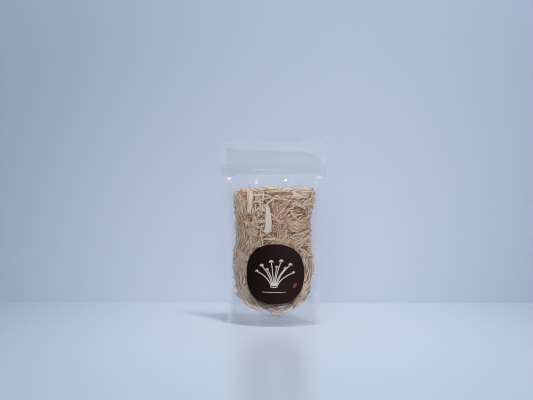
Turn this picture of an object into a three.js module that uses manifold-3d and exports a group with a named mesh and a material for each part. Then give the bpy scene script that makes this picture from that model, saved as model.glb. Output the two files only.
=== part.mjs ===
// A clear stand-up zip pouch of dried enoki mushroom.
//
// Three sheets of film make the pouch: a front, a back, and a base sheet folded up between them, which
// opens into an arched floor. They are heat-sealed down both sides, across the top and along the foot.
// A two-part press-to-close zip runs across it below the top. A round label is stuck on the front.
// Inside lies a loose pile of dried, cut enoki stems with some flat slabs, cut where the stems grow together.
//
// Units are millimetres and +Z is up. The pouch faces -Y. The origin is on the surface that it stands on,
// below its middle.

import * as THREE from "three";
import { mergeVertices } from "three/addons/utils/BufferGeometryUtils.js";
import Module from "manifold-3d";

// ---- Driving dimensions: the pouch ----
const POUCH_WIDTH = 120; // laid flat, over both side seals
const POUCH_HEIGHT = 206; // standing
const SIDE_SEAL = 6; // width of a side seal
const FOOT_SEAL = 6; // height of the seal along the foot
const TOP_SEAL = 9; // height of the seal across the top
const GUSSET_FOLD = 36; // height of the base sheet's fold at the side seals
const BODY_HALF_DEPTH = 20.5; // from the middle plane to the fullest part of the front
const FULLEST_HEIGHT = 60; // above it the body thins towards the zip
const BODY_ROUNDNESS = 2.6; // exponent of the body's cross-section: 2 is a lens, 10 is a flat box
const FILM = 0.4; // thickness of a sheet
const GAP = 0.3; // between pieces that touch

// ---- Driving dimensions: the zip ----
const ZIP_FROM = 167; // lower and upper edge of its two tapes
const ZIP_TO = 181;
const LOCK_HEIGHT = 173.5; // middle of the rib and the groove
const TAPE = 0.3; // thickness of a tape
const ZIP_HALF_DEPTH = 1.9; // from the middle plane to the film, over the tapes
const HEADER_HALF_DEPTH = 1.4; // how far the film stands off between the zip and the top seal

// ---- Driving dimensions: the label ----
const LABEL_WIDTH = 64;
const LABEL_HEIGHT = 66;
const LABEL_CENTRE = { x: 3, z: 58 };
const LABEL_SQUARENESS = 2.4; // exponent of its outline: 2 is a circle
const LABEL = 0.35; // thickness
const LABEL_CLEARANCE = 0.48; // over the film, whose flat facets bow out a little under it

// ---- Driving dimensions: the mushrooms ----
const FILL_TOP = 150; // height of the packed pile, under its loose ends
const FILL_CLEARANCE = 0.6; // between the pile and the film
const FILL_EDGE = 3.5; // between the outermost stems and the side seals
const CORE_INSET = 4; // depth of the loose stems over the packed core
const CORE_EDGE = 6.5; // between the core and the side seals
const STEM_WIDTH = 1.9;
const STEM_HEIGHT = 1.3;
const VALLEY_HEIGHT = 0.8; // between two joined stems
const STEM_LENGTH = { least: 14, most: 38 };
const STEMS = { [-1]: 200, 1: 190, 0: 12 }; // most that are laid on the pile's front, back and top
const STEM_TRIES = 9000; // places tried for them
const STEM_SPACING = 0.72; // least distance between two, as a share of their joined half-widths
const SLAB = 1.7; // thickness of a slab of joined stems

const BODY_TOP = ZIP_FROM;
const SHEET_HALF_WIDTH = POUCH_WIDTH / 2 - SIDE_SEAL; // of the flat film between its side seals
const SEAL_HALF_DEPTH = GAP / 2; // from the middle plane to the film where two sheets are sealed
const CORNER_HALF_DEPTH = 1.3; // where the folded base sheet lies between them

// ---- Small helpers ----
const { abs, atan2, cos, sin, sqrt, sign, min, max, PI } = Math;
const mix = THREE.MathUtils.lerp;
const rise = (from, to, value) => THREE.MathUtils.smoothstep(value, from, to);
const steps = (count, from = 0, to = 1) =>
  Array.from({ length: count + 1 }, (_, i) => mix(from, to, i / count));
const vector = (x, y, z) => new THREE.Vector3(x, y, z);

// A seeded source of numbers from 0 to 1, so that the pile is the same each time.
function seeded(seed) {
  let state = seed;
  return () => {
    state = (state + 0x6d2b79f5) | 0;
    let bits = Math.imul(state ^ (state >>> 15), 1 | state);
    bits = (bits + Math.imul(bits ^ (bits >>> 7), 61 | bits)) ^ bits;
    return ((bits ^ (bits >>> 14)) >>> 0) / 4294967296;
  };
}

// ---- The pouch's form ----

// Half the depth of the filled pouch at a height, at mid-width, beyond the films' resting distance.
function bulge(z) {
  const up = THREE.MathUtils.clamp((z - FULLEST_HEIGHT) / (BODY_TOP - FULLEST_HEIGHT), 0, 1);
  const body = z < BODY_TOP ? BODY_HALF_DEPTH * (1 - up ** 3) ** 0.75 : 0;
  const header = THREE.MathUtils.clamp((z - ZIP_TO) / (POUCH_HEIGHT - TOP_SEAL - ZIP_TO), 0, 1);
  return body + HEADER_HALF_DEPTH * sin(PI * header);
}

// The films' resting distance from the middle plane: more where the folded base sheet or the zip is between.
function resting(z) {
  const corner = 1 - rise(GUSSET_FOLD, GUSSET_FOLD + 18, z);
  const zip = rise(ZIP_FROM - 7, ZIP_FROM, z) * (1 - rise(ZIP_TO, ZIP_TO + 6, z));
  return (
    SEAL_HALF_DEPTH +
    (CORNER_HALF_DEPTH - SEAL_HALF_DEPTH) * corner +
    (ZIP_HALF_DEPTH - SEAL_HALF_DEPTH) * zip
  );
}

const roundness = (z) => mix(BODY_ROUNDNESS, 6, rise(BODY_TOP - 12, BODY_TOP, z));

// Half the width between the side seals. The film doesn't stretch, so a fuller body is a narrower one.
function halfWidth(z) {
  const n = roundness(z);
  const extra = (n * n) / (2 * (2 * n - 1)); // length that a curve of this roundness takes up
  return (SHEET_HALF_WIDTH + sqrt(SHEET_HALF_WIDTH ** 2 - 4 * extra * bulge(z) ** 2)) / 2;
}

// Distance of a film's inner face from the middle plane.
function innerDepth(x, z) {
  const across = min(abs(x) / halfWidth(z), 1);
  return resting(z) + bulge(z) * (1 - across ** roundness(z));
}

// How far the middle plane itself leans and waves, which it does only above the filled body.
const wave = (x, z) => rise(BODY_TOP - 10, POUCH_HEIGHT, z) * (2.2 * sin(x / 24 + 0.7) + 2);

// Stations across the pouch: -1 to 1 between the side seals, and on to -2 and 2 at their outer edges.
const ACROSS = [-2, -1, -0.9, -0.76, -0.6, -0.4, -0.2, 0, 0.2, 0.4, 0.6, 0.76, 0.9, 1, 2];
const acrossToX = (s, z) =>
  abs(s) <= 1 ? s * halfWidth(z) : sign(s) * (halfWidth(z) + (abs(s) - 1) * SIDE_SEAL);

// ---- Meshes ----

function geometryOf(points, triangles) {
  const geometry = new THREE.BufferGeometry();
  geometry.setAttribute("position", new THREE.Float32BufferAttribute(points.flatMap((p) => p.toArray()), 3));
  geometry.setIndex(triangles.flat());
  return geometry;
}

// A closed slab between two grids of points, each a list of rows. Its faces point outwards.
function slabBetween(lower, upper) {
  const rows = lower.length;
  const columns = lower[0].length;
  const at = (layer, r, c) => (layer * rows + r) * columns + c;
  const triangles = [];
  const quad = (a, b, c, d) => triangles.push([a, b, c], [a, c, d]);
  for (let r = 0; r + 1 < rows; r++)
    for (let c = 0; c + 1 < columns; c++) {
      quad(at(0, r, c), at(0, r + 1, c), at(0, r + 1, c + 1), at(0, r, c + 1));
      quad(at(1, r, c), at(1, r, c + 1), at(1, r + 1, c + 1), at(1, r + 1, c));
    }
  for (let c = 0; c + 1 < columns; c++) {
    quad(at(0, 0, c), at(0, 0, c + 1), at(1, 0, c + 1), at(1, 0, c));
    quad(at(0, rows - 1, c + 1), at(0, rows - 1, c), at(1, rows - 1, c), at(1, rows - 1, c + 1));
  }
  for (let r = 0; r + 1 < rows; r++) {
    quad(at(0, r + 1, 0), at(0, r, 0), at(1, r, 0), at(1, r + 1, 0));
    quad(at(0, r, columns - 1), at(0, r + 1, columns - 1), at(1, r + 1, columns - 1), at(1, r, columns - 1));
  }
  const points = [...lower.flat(), ...upper.flat()];
  const volume = triangles.reduce(
    (sum, [a, b, c]) => sum + points[a].dot(points[b].clone().cross(points[c])),
    0,
  );
  return geometryOf(points, volume < 0 ? triangles.map(([a, b, c]) => [a, c, b]) : triangles);
}

// The unit normals of a grid of points. Those of its first and last row stay level if asked, so that
// an edge which stands on the floor stays flat.
function normalsOf(grid, levelEnds = false) {
  const last = grid.length - 1;
  return grid.map((row, r) =>
    row.map((_, c) => {
      const along = grid[min(r + 1, last)][c].clone().sub(grid[max(r - 1, 0)][c]);
      const across = row[min(c + 1, row.length - 1)].clone().sub(row[max(c - 1, 0)]);
      const normal = across.cross(along);
      if (levelEnds && (r === 0 || r === last)) normal.z = 0;
      return normal.normalize();
    }),
  );
}

const offset = (grid, normals, by) =>
  grid.map((row, r) => row.map((p, c) => p.clone().addScaledVector(normals[r][c], by)));

// ---- Film ----

const FILM_HEIGHTS = [
  0, FOOT_SEAL, 14, 24, GUSSET_FOLD, 46, 60, 76, 92, 107, 121, 133, 143, 151, 157, 162, ZIP_FROM, ZIP_TO,
  185, 190, POUCH_HEIGHT - TOP_SEAL, POUCH_HEIGHT,
];

// A front (side -1) or back (side 1) sheet.
function wallSheet(side) {
  const inner = FILM_HEIGHTS.map((z) =>
    ACROSS.map((s) => {
      const x = acrossToX(s, z);
      return vector(x, side * innerDepth(x, z) + wave(x, z), z);
    }),
  );
  return slabBetween(inner, offset(inner, normalsOf(inner, true), -side * FILM));
}

// Height at which the base sheet leaves the front and back sheets: a curve, low in the middle.
const sealHeight = (s) => mix(FOOT_SEAL, GUSSET_FOLD - 1.5, min(abs(s), 1) ** 1.8);

// The base sheet's fold: as high as the free length of film lets it stand.
function foldHeight(s) {
  const from = sealHeight(s);
  const free = GUSSET_FOLD - from;
  const reach = baseDepth(s, from);
  return from + sqrt(max(free ** 2 - reach ** 2, 0.8 ** 2));
}

// Distance of the base sheet's middle from the middle plane where it lies against a wall sheet.
const baseDepth = (s, z) => innerDepth(acrossToX(s, z), z) - GAP - FILM / 2;

// Height of the base sheet at a station across, at a distance from the middle plane: a rounded arch.
function floorHeight(s, y) {
  const from = sealHeight(s);
  const inwards = min(abs(y) / baseDepth(s, from), 1);
  return mix(from, foldHeight(s), 1 - inwards ** 2);
}

const SEALED_ROWS = 3;
const FREE_ROWS = 4;

// The middle of the base sheet, in rows from the foot of the front up over the arch to the foot of the back.
function baseRows() {
  const leg = (side) => [
    ...steps(SEALED_ROWS).map((t) =>
      ACROSS.map((s) => {
        const z = t * sealHeight(s);
        return vector(acrossToX(s, z), side * baseDepth(s, z), z);
      }),
    ),
    ...steps(FREE_ROWS)
      .slice(1, -1)
      .map((t) =>
        ACROSS.map((s) => {
          const y = (1 - t) * baseDepth(s, sealHeight(s));
          const z = floorHeight(s, y);
          return vector(acrossToX(s, z), side * y, z);
        }),
      ),
  ];
  const fold = ACROSS.map((s) => vector(acrossToX(s, foldHeight(s)), 0, foldHeight(s)));
  return [...leg(-1), fold, ...leg(1).reverse()];
}

function baseSheet() {
  const rows = baseRows();
  const normals = normalsOf(rows, true);
  return slabBetween(offset(rows, normals, -FILM / 2), offset(rows, normals, FILM / 2));
}

// ---- Zip ----

// Cross-sections as [depth, height from the lock's middle]. The head of the rib is wider than the
// groove's lips, which let it in and hold it.
const LOW = ZIP_FROM + GAP - LOCK_HEIGHT;
const HIGH = ZIP_TO - GAP - LOCK_HEIGHT;
const FRONT_TAPE = -(ZIP_HALF_DEPTH - GAP);
const BACK_TAPE = ZIP_HALF_DEPTH - GAP;
const RIB = { neck: 0.25, head: 0.75, tip: 0.2, shoulder: -0.1, end: 0.9 };
const GROOVE = { lip: 0.55, inside: 1.05, outside: 1.5, mouth: -0.95, ledge: -0.45 };

const ribSection = [
  [FRONT_TAPE, LOW],
  [FRONT_TAPE + TAPE, LOW],
  [FRONT_TAPE + TAPE, -RIB.neck],
  [RIB.shoulder, -RIB.neck],
  [RIB.shoulder, -RIB.head],
  [RIB.end, -RIB.tip],
  [RIB.end, RIB.tip],
  [RIB.shoulder, RIB.head],
  [RIB.shoulder, RIB.neck],
  [FRONT_TAPE + TAPE, RIB.neck],
  [FRONT_TAPE + TAPE, HIGH],
  [FRONT_TAPE, HIGH],
];

const jaw = (upper) =>
  [
    [BACK_TAPE - TAPE, GROOVE.outside],
    [GROOVE.mouth, GROOVE.outside],
    [GROOVE.mouth, GROOVE.lip],
    [GROOVE.ledge, GROOVE.lip],
    [GROOVE.ledge, GROOVE.inside],
    [BACK_TAPE - TAPE, GROOVE.inside],
  ].map(([depth, height]) => [depth, upper * height]);

const grooveSection = [
  [BACK_TAPE, LOW],
  [BACK_TAPE, HIGH],
  [BACK_TAPE - TAPE, HIGH],
  ...jaw(1),
  ...jaw(-1).reverse(),
  [BACK_TAPE - TAPE, LOW],
];

// A cross-section drawn out over the pouch's whole width, following its wave.
function zipStrip(section) {
  const shape = new THREE.Shape(section.map(([depth, height]) => new THREE.Vector2(depth, height)));
  const strip = new THREE.ExtrudeGeometry(shape, { depth: POUCH_WIDTH, steps: 8, bevelEnabled: false });
  const corners = strip.getAttribute("position");
  for (let i = 0; i < corners.count; i++) {
    const x = corners.getZ(i) - POUCH_WIDTH / 2;
    const z = LOCK_HEIGHT + corners.getY(i);
    corners.setXYZ(i, x, corners.getX(i) + wave(x, z), z);
  }
  // Depth, height and length became Y, Z and X: the same turn three axes make, so the faces still point out.
  return strip;
}

// ---- Label ----

function labelSheet() {
  const half = { x: LABEL_WIDTH / 2, z: LABEL_HEIGHT / 2 };
  const reach = (angle) =>
    (abs(cos(angle)) ** LABEL_SQUARENESS + abs(sin(angle)) ** LABEL_SQUARENESS) ** (-1 / LABEL_SQUARENESS);
  const grid = (depth) =>
    steps(8, -1, 1).map((v) =>
      steps(8, -1, 1).map((u) => {
        // A square of points drawn onto the outline: each square ring becomes one ring of the label.
        const ring = max(abs(u), abs(v));
        const angle = atan2(v, u);
        const x = LABEL_CENTRE.x + half.x * ring * reach(angle) * cos(angle);
        const z = LABEL_CENTRE.z + half.z * ring * reach(angle) * sin(angle);
        return vector(x, -(innerDepth(x, z) + FILM + depth), z);
      }),
    );
  return slabBetween(grid(LABEL_CLEARANCE), grid(LABEL_CLEARANCE + LABEL));
}

// ---- Dried mushrooms ----

const wasm = await Module();
wasm.setup();

function solidOf(geometry) {
  const bare = new THREE.BufferGeometry().setAttribute("position", geometry.getAttribute("position"));
  const whole = mergeVertices(geometry.index ? bare.setIndex(geometry.index) : bare, 1e-4);
  return new wasm.Manifold(
    new wasm.Mesh({
      numProp: 3,
      vertProperties: new Float32Array(whole.getAttribute("position").array),
      triVerts: new Uint32Array(whole.index.array),
    }),
  );
}

function geometryFrom(solid) {
  const mesh = solid.getMesh();
  const geometry = new THREE.BufferGeometry();
  geometry.setAttribute("position", new THREE.BufferAttribute(mesh.vertProperties, 3));
  geometry.setIndex(new THREE.BufferAttribute(mesh.triVerts, 1));
  return geometry;
}

const largestOf = (solid) =>
  solid.decompose().reduce((best, body) => (body.volume() > best.volume() ? body : best));

// How far from the middle plane the pile may reach.
const fillDepth = (x, z) => innerDepth(x, z) - FILL_CLEARANCE;

// The surface of one side of the room that the pile has, on the film's own grid.
const fillLimit = (side) =>
  FILM_HEIGHTS.filter((z) => z >= FOOT_SEAL && z < ZIP_FROM).map((z) =>
    ACROSS.filter((s) => abs(s) <= 1).map((s) => {
      const x = 0.97 * s * halfWidth(z);
      return vector(x, side * fillDepth(x, z), z);
    }),
  );

// A point below the surface of the pile, and the way out from it there. Side -1 is the front and 1 the
// back, placed by x and z; side 0 is the top, placed by x and y.
function onPile(side, x, across, depth) {
  if (side === 0) return { point: vector(x, across, FILL_TOP + CORE_INSET - depth), out: vector(0, 0, 1) };
  const z = THREE.MathUtils.clamp(across, 8, FILL_TOP + 6);
  const edge = halfWidth(z) - FILL_EDGE;
  const inside = THREE.MathUtils.clamp(x, -edge, edge);
  const slope = (dx, dz) => fillDepth(inside - dx, z - dz) - fillDepth(inside + dx, z + dz);
  const out = vector(slope(0.5, 0), side, slope(0, 0.5)).normalize();
  const point = vector(inside, side * fillDepth(inside, z), z).addScaledVector(out, -depth);
  point.y = side * max(side * point.y, 0.4);
  return { point, out };
}

// The packed middle of the pile, which the outer stems stand out of.
function core() {
  const face = (side) =>
    [8, 20, 34, 50, 70, 90, 110, 128, 140, FILL_TOP].map((z) =>
      steps(8, -1, 1).map((s) => onPile(side, s * (halfWidth(z) - CORE_EDGE), z, CORE_INSET).point),
    );
  return solidOf(slabBetween(face(-1), face(1)));
}

// Everything from below the floor up to a little above the arched base sheet.
function underFloor(clearance) {
  const rows = baseRows();
  const arch = offset(rows, normalsOf(rows), clearance).slice(SEALED_ROWS, -SEALED_ROWS);
  const beyond = (row, by) => row.map((p) => vector(p.x, p.y + by, p.z));
  const top = [beyond(arch[0], -4), ...arch, beyond(arch.at(-1), 4)];
  return solidOf(slabBetween(top.map((row) => row.map((p) => vector(p.x, p.y, -5))), top));
}

// Stems joined side by side, one ridge each, with a flat bottom. They lie along points of the pile, grow
// narrower towards one end and are cut unevenly at both.
function joinedStems(random, spine, count) {
  const width = count * STEM_WIDTH * mix(0.8, 1.15, random());
  const section = steps(2 * count, -0.5, 0.5).map((across, i) => {
    const edge = i === 0 || i === 2 * count;
    return { across, up: i % 2 ? STEM_HEIGHT : edge ? 0 : VALLEY_HEIGHT };
  });
  const last = spine.length - 1;
  const rings = spine.map(({ point, out }, i) => {
    const along = spine[min(i + 1, last)].point.clone().sub(spine[max(i - 1, 0)].point).normalize();
    const up = out.clone().addScaledVector(along, -along.dot(out)).normalize();
    const aside = along.clone().cross(up).multiplyScalar(width * mix(1, 0.7, i / last));
    return section.map((corner) =>
      point
        .clone()
        .addScaledVector(aside, corner.across)
        .addScaledVector(up, corner.up)
        .addScaledVector(along, i % last ? 0 : mix(-1, 1, random())),
    );
  });
  const corners = section.length;
  const at = (ring, corner) => ring * corners + (corner % corners);
  const cap = section.flatMap((_, i) => {
    if (i % 2) return [[i - 1, i, i + 1]];
    return i >= 4 ? [[0, i - 2, i]] : [];
  });
  const triangles = cap.flatMap(([i, j, k]) => [
    [at(0, i), at(0, k), at(0, j)],
    [at(last, i), at(last, j), at(last, k)],
  ]);
  for (let r = 0; r < last; r++)
    for (let k = 0; k < corners; k++)
      triangles.push(
        [at(r, k), at(r, k + 1), at(r + 1, k + 1)],
        [at(r, k), at(r + 1, k + 1), at(r + 1, k)],
      );
  return solidOf(geometryOf(rings.flat(), triangles));
}

// Whether a point lies under or beside one of the slabs on this side of the pile.
function nearSlab(side, point) {
  return SLABS.some((form) => {
    const turn = THREE.MathUtils.degToRad(form.turn);
    const [dx, dz] = [point.x - form.x, point.z - form.z];
    const along = abs(dx * cos(turn) + dz * sin(turn));
    const aside = abs(dz * cos(turn) - dx * sin(turn));
    const half = { long: form.long / 2 + STEM_WIDTH, wide: max(form.from, form.to) / 2 + STEM_WIDTH };
    return form.side === side && along < half.long && aside < half.wide;
  });
}

// The stems on one side of the pile, single or joined. Each has one end sunk in the core and lies at some
// depth above it, crossing over and under the others without touching them.
function looseStems(random, side) {
  const laid = [];
  for (let tries = 0; tries < STEM_TRIES && laid.length < STEMS[side]; tries++) {
    const count = random() < 0.72 ? 1 : random() < 0.7 ? 2 : 3;
    const across = side === 0 ? mix(-6, 6, random()) : mix(9, FILL_TOP + 1, random());
    const x = mix(-1, 1, random()) * (halfWidth(side === 0 ? FILL_TOP : across) - FILL_EDGE);
    const heading = side === 0 ? mix(-0.4, 0.4, random()) + PI * Math.round(random()) : 2 * PI * random();
    const length = mix(STEM_LENGTH.least, STEM_LENGTH.most, random() ** 1.5) / sqrt(count);
    const bend = length * mix(-0.4, 0.4, random());
    const depths = [CORE_INSET + 0.6, mix(1.9, CORE_INSET - 0.7, random()), mix(1.9, CORE_INSET - 0.5, random())];
    const at = (t) => {
      const depth = t < 0.4 ? mix(depths[0], depths[1], t / 0.4) : mix(depths[1], depths[2], (t - 0.4) / 0.6);
      const aside = bend * t * (1 - t);
      return onPile(
        side,
        x + length * (t - 0.5) * cos(heading) - aside * sin(heading),
        across + length * (t - 0.5) * sin(heading) + aside * cos(heading),
        depth,
      );
    };
    const points = steps(12, 0.12).map((t) => at(t).point);
    const reach = (count * STEM_WIDTH) / 2 + 0.1;
    const touches = (other) =>
      other.points.some((q) => points.some((p) => p.distanceTo(q) < (reach + other.reach) * STEM_SPACING));
    if (points.some((point) => nearSlab(side, point)) || laid.some(touches)) continue;
    laid.push({ points, reach, solid: joinedStems(random, [0, 0.4, 1].map(at), count) });
  }
  return laid.map(({ solid }) => solid);
}

// A slab of stems that grew together: a thin fan with a ridge for each stem, and ends of uneven length.
const SLABS = [
  { name: "slab_front_upright", side: -1, x: -26, z: 138, long: 30, from: 5, to: 7, turn: 88 },
  { name: "slab_front_fan", side: -1, x: -4.5, z: 119, long: 34, from: 9, to: 4, turn: 92 },
  { name: "slab_front_bundle", side: -1, x: 29, z: 111, long: 26, from: 11, to: 12, turn: 17 },
  { name: "slab_front_short", side: -1, x: -23, z: 104, long: 16, from: 9, to: 7, turn: -20 },
  { name: "slab_front_top", side: -1, x: 31, z: 145, long: 22, from: 6, to: 8, turn: 6 },
  { name: "slab_back_fan", side: 1, x: 14, z: 116, long: 32, from: 6, to: 11, turn: 70 },
  { name: "slab_back_bundle", side: 1, x: -20, z: 84, long: 28, from: 8, to: 12, turn: -25 },
  { name: "slab_back_low", side: 1, x: 18, z: 52, long: 24, from: 9, to: 7, turn: 35 },
];

function slab(form, index, grown = 0) {
  const random = seeded(101 + index);
  const turn = THREE.MathUtils.degToRad(form.turn);
  const ends = steps(6).map(() => [3 * random(), 3 * random()]);
  const grid = (outer) =>
    steps(4, -1, 1).map((v) =>
      steps(6, -1, 1).map((u, column) => {
        const half = mix(form.from, form.to, (v + 1) / 2) / 2;
        const cutBack = v === -1 ? ends[column][0] : v === 1 ? -ends[column][1] : 0;
        const along = v * (form.long / 2 + grown) + cutBack;
        const aside = u * (half + grown) + 1.2 * v * v;
        const x = form.x + along * cos(turn) - aside * sin(turn);
        const z = form.z + along * sin(turn) + aside * cos(turn);
        const ridge = outer && column % 2 === 0 ? 0.5 : 0;
        const depth = outer ? 0.1 + ridge - grown : 0.1 + SLAB + grown;
        return onPile(form.side, x, z, depth).point;
      }),
    );
  return slabBetween(grid(false), grid(true));
}

function strandPile() {
  const random = seeded(20);
  const stems = [-1, 1, 0].flatMap((side) => looseStems(random, side));
  const room = solidOf(slabBetween(fillLimit(-1), fillLimit(1)));
  const pile = wasm.Manifold.union([core(), ...stems]);
  const hollows = SLABS.map((form, index) => solidOf(slab(form, index, GAP + 0.1)));
  const packed = pile.intersect(room).subtract(underFloor(GAP * 2)).subtract(wasm.Manifold.union(hollows));
  return largestOf(packed.simplify(0.03));
}

// ---- The whole part ----

const plastic = (color, opacity) =>
  new THREE.MeshStandardMaterial({ color, roughness: 0.15, metalness: 0, transparent: true, opacity });
const film = plastic(0xf4f7fa, 0.2);
const tape = plastic(0xf8fafc, 0.5);
const paper = new THREE.MeshStandardMaterial({ color: 0x231b17, roughness: 0.55, metalness: 0 });
const driedStems = new THREE.MeshStandardMaterial({ color: 0xb39a80, roughness: 0.85, metalness: 0 });
const joinedFlesh = new THREE.MeshStandardMaterial({ color: 0xcbb795, roughness: 0.8, metalness: 0 });

const pouch = new THREE.Group();
pouch.name = "dried_enoki_pouch";

function add(name, geometry, material) {
  const mesh = new THREE.Mesh(geometry, material);
  mesh.name = name;
  pouch.add(mesh);
}

add("pouch_front_film", wallSheet(-1), film);
add("pouch_back_film", wallSheet(1), film);
add("pouch_base_gusset", baseSheet(), film);
add("zip_rib_strip", zipStrip(ribSection), tape);
add("zip_groove_strip", zipStrip(grooveSection), tape);
add("front_label", labelSheet(), paper);
add("enoki_pile", geometryFrom(strandPile()), driedStems);
SLABS.forEach((form, index) => add(form.name, slab(form, index), joinedFlesh));

export default pouch;
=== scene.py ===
# %% [markdown]
# # A clear stand-up pouch of dried enoki mushroom
#
# The real object is a bag made from three sheets of thin clear film. It stands on a base sheet that opens
# out under its contents, closes with a press-to-close zip, and carries a round dark label. Inside is a
# loose pile of dried enoki: thin stems cut to a few centimetres, and slabs cut where the stems join.
#
# The solids of the object are already measured and packed. This notebook loads them as a fixed frame and
# dresses them: each cell makes one piece or one finish and says why it is made that way.

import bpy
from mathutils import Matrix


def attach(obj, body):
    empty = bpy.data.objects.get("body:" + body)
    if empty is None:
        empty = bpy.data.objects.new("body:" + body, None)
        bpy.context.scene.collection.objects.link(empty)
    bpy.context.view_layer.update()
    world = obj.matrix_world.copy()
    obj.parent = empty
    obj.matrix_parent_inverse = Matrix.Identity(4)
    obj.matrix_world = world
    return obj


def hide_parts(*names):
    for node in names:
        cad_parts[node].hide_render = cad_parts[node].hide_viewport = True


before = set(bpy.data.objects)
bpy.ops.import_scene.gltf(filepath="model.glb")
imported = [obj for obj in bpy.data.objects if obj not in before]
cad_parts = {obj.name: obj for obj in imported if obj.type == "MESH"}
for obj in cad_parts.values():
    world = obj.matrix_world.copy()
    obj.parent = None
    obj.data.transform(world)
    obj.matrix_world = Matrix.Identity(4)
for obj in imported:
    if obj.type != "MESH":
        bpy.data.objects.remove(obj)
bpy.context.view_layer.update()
print("solids:", sorted(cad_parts))

# %% Libraries and units
import math
import bpy
import numpy as np
from mathutils import Vector

MM = 0.001  # shapes are worked out in millimetres and become metres when a mesh is made
scene = bpy.context.scene
print("Blender", bpy.app.version_string)

# %% [markdown]
# ## The pouch's form
#
# Film bends but doesn't stretch, so its shape follows from a few sizes: how far it bulges at each height,
# how round its cross-section is, and how much narrower a fuller cross-section makes it. The same formulas
# place the film, the label on it and the stems that press against it from inside, so nothing has to be
# fitted by eye.

# %% Sizes of the pouch
POUCH_WIDTH, POUCH_HEIGHT = 120.0, 206.0
SIDE_SEAL, FOOT_SEAL, TOP_SEAL = 6.0, 6.0, 9.0
GUSSET_FOLD = 36.0
BODY_HALF_DEPTH, FULLEST_HEIGHT, BODY_ROUNDNESS = 20.5, 60.0, 2.6
ZIP_FROM, ZIP_TO, ZIP_HALF_DEPTH = 167.0, 181.0, 1.9
HEADER_HALF_DEPTH = 1.4
CORNER_HALF_DEPTH, SEAL_HALF_DEPTH = 1.3, 0.15
SHEET_HALF_WIDTH = POUCH_WIDTH / 2 - SIDE_SEAL
TAUT_FROM = 154.0
FILM = 0.12  # thickness of a sheet of film
print("flat width", POUCH_WIDTH, "mm, height", POUCH_HEIGHT, "mm, film", FILM, "mm")

# %% [markdown]
# How far the film bulges is a matter of height alone: fullest low down, nothing at the zip, and a little
# again in the header. A full cross-section takes width from the bag, because the way across the sheet
# stays as long as it was when the bag lay flat.

# %% Bulge and width by height
def rise(start, end, value):
    """0 before start, 1 after end, and a smooth step between them."""
    t = np.clip((value - start) / (end - start), 0, 1)
    return t * t * (3 - 2 * t)


def bulge(z):
    up = np.clip((z - FULLEST_HEIGHT) / (ZIP_FROM - FULLEST_HEIGHT), 0, 1)
    body = BODY_HALF_DEPTH * (1 - up**3) ** 0.75
    header = np.clip((z - ZIP_TO) / (POUCH_HEIGHT - TOP_SEAL - ZIP_TO), 0, 1)
    return body + HEADER_HALF_DEPTH * np.sin(np.pi * header)


def resting(z):
    """Distance of a sheet from the middle plane where nothing bulges it."""
    corner = 1 - rise(GUSSET_FOLD, GUSSET_FOLD + 18, z)
    zip_zone = rise(ZIP_FROM - 7, ZIP_FROM, z) * (1 - rise(ZIP_TO, ZIP_TO + 6, z))
    return (
        SEAL_HALF_DEPTH
        + (CORNER_HALF_DEPTH - SEAL_HALF_DEPTH) * corner
        + (ZIP_HALF_DEPTH - SEAL_HALF_DEPTH) * zip_zone
    )


def roundness(z):
    return BODY_ROUNDNESS + (6 - BODY_ROUNDNESS) * rise(ZIP_FROM - 12, ZIP_FROM, z)


def half_width(z):
    n = roundness(z)
    extra = n * n / (2 * (2 * n - 1))
    return (SHEET_HALF_WIDTH + np.sqrt(SHEET_HALF_WIDTH**2 - 4 * extra * bulge(z) ** 2)) / 2


fullest_width = 2 * float(half_width(FULLEST_HEIGHT) + SIDE_SEAL)
print("body width", round(fullest_width, 1), "mm, of", POUCH_WIDTH, "flat")


# %% From a place on a sheet to a point
def place_across(s, z):
    """x for a place across: -1 and 1 are the edges of the filled body, -2 and 2 those of the side seals."""
    past = np.maximum(np.abs(s) - 1, 0)
    return np.clip(s, -1, 1) * half_width(z) + np.sign(s) * past * SIDE_SEAL


def inner_depth(x, z):
    across = np.minimum(np.abs(x) / half_width(z), 1)
    return resting(z) + bulge(z) * (1 - across ** roundness(z))


def sheet_depth(x, z):
    """The same, but the film runs straight from the pile's top up to the zip, as a pulled sheet does."""
    t = np.clip((z - TAUT_FROM) / (ZIP_FROM - TAUT_FROM), 0, 1)
    taut = inner_depth(x, TAUT_FROM) * (1 - t) + inner_depth(x, ZIP_FROM) * t
    return np.where((t > 0) & (t < 1), taut, inner_depth(x, z))


def wave(x, z):
    """How far the middle plane itself leans and waves above the filled body."""
    return rise(ZIP_FROM - 10, POUCH_HEIGHT, z) * (2.2 * np.sin(x / 24 + 0.7) + 2)


def seal_height(s):
    """Height at which the base sheet leaves the wall sheets, by place across from -1 to 1."""
    return FOOT_SEAL + (GUSSET_FOLD - 1.5 - FOOT_SEAL) * np.minimum(np.abs(s), 1) ** 1.8


print("the base sheet leaves the walls", FOOT_SEAL, "to", round(float(seal_height(1.0)), 1), "mm up")

# %% [markdown]
# ## Making a mesh from two grids
#
# Film, label and slabs are all thin closed sheets. Each is described by two grids of points, one for each
# face, and this helper sews them together round the edge. It turns the faces outwards by the sign of the
# volume that they enclose, and stores any value per point, such as how hazy the film is there.

# %% Make an object, and store values at its points
def add_object(name, points, faces, smooth=True):
    mesh = bpy.data.meshes.new(name)
    mesh.from_pydata(np.asarray(points, float).reshape(-1, 3) * MM, [], faces)
    mesh.polygons.foreach_set("use_smooth", [smooth] * len(mesh.polygons))
    mesh.update()
    piece = bpy.data.objects.new(name, mesh)
    scene.collection.objects.link(piece)
    return piece


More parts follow.
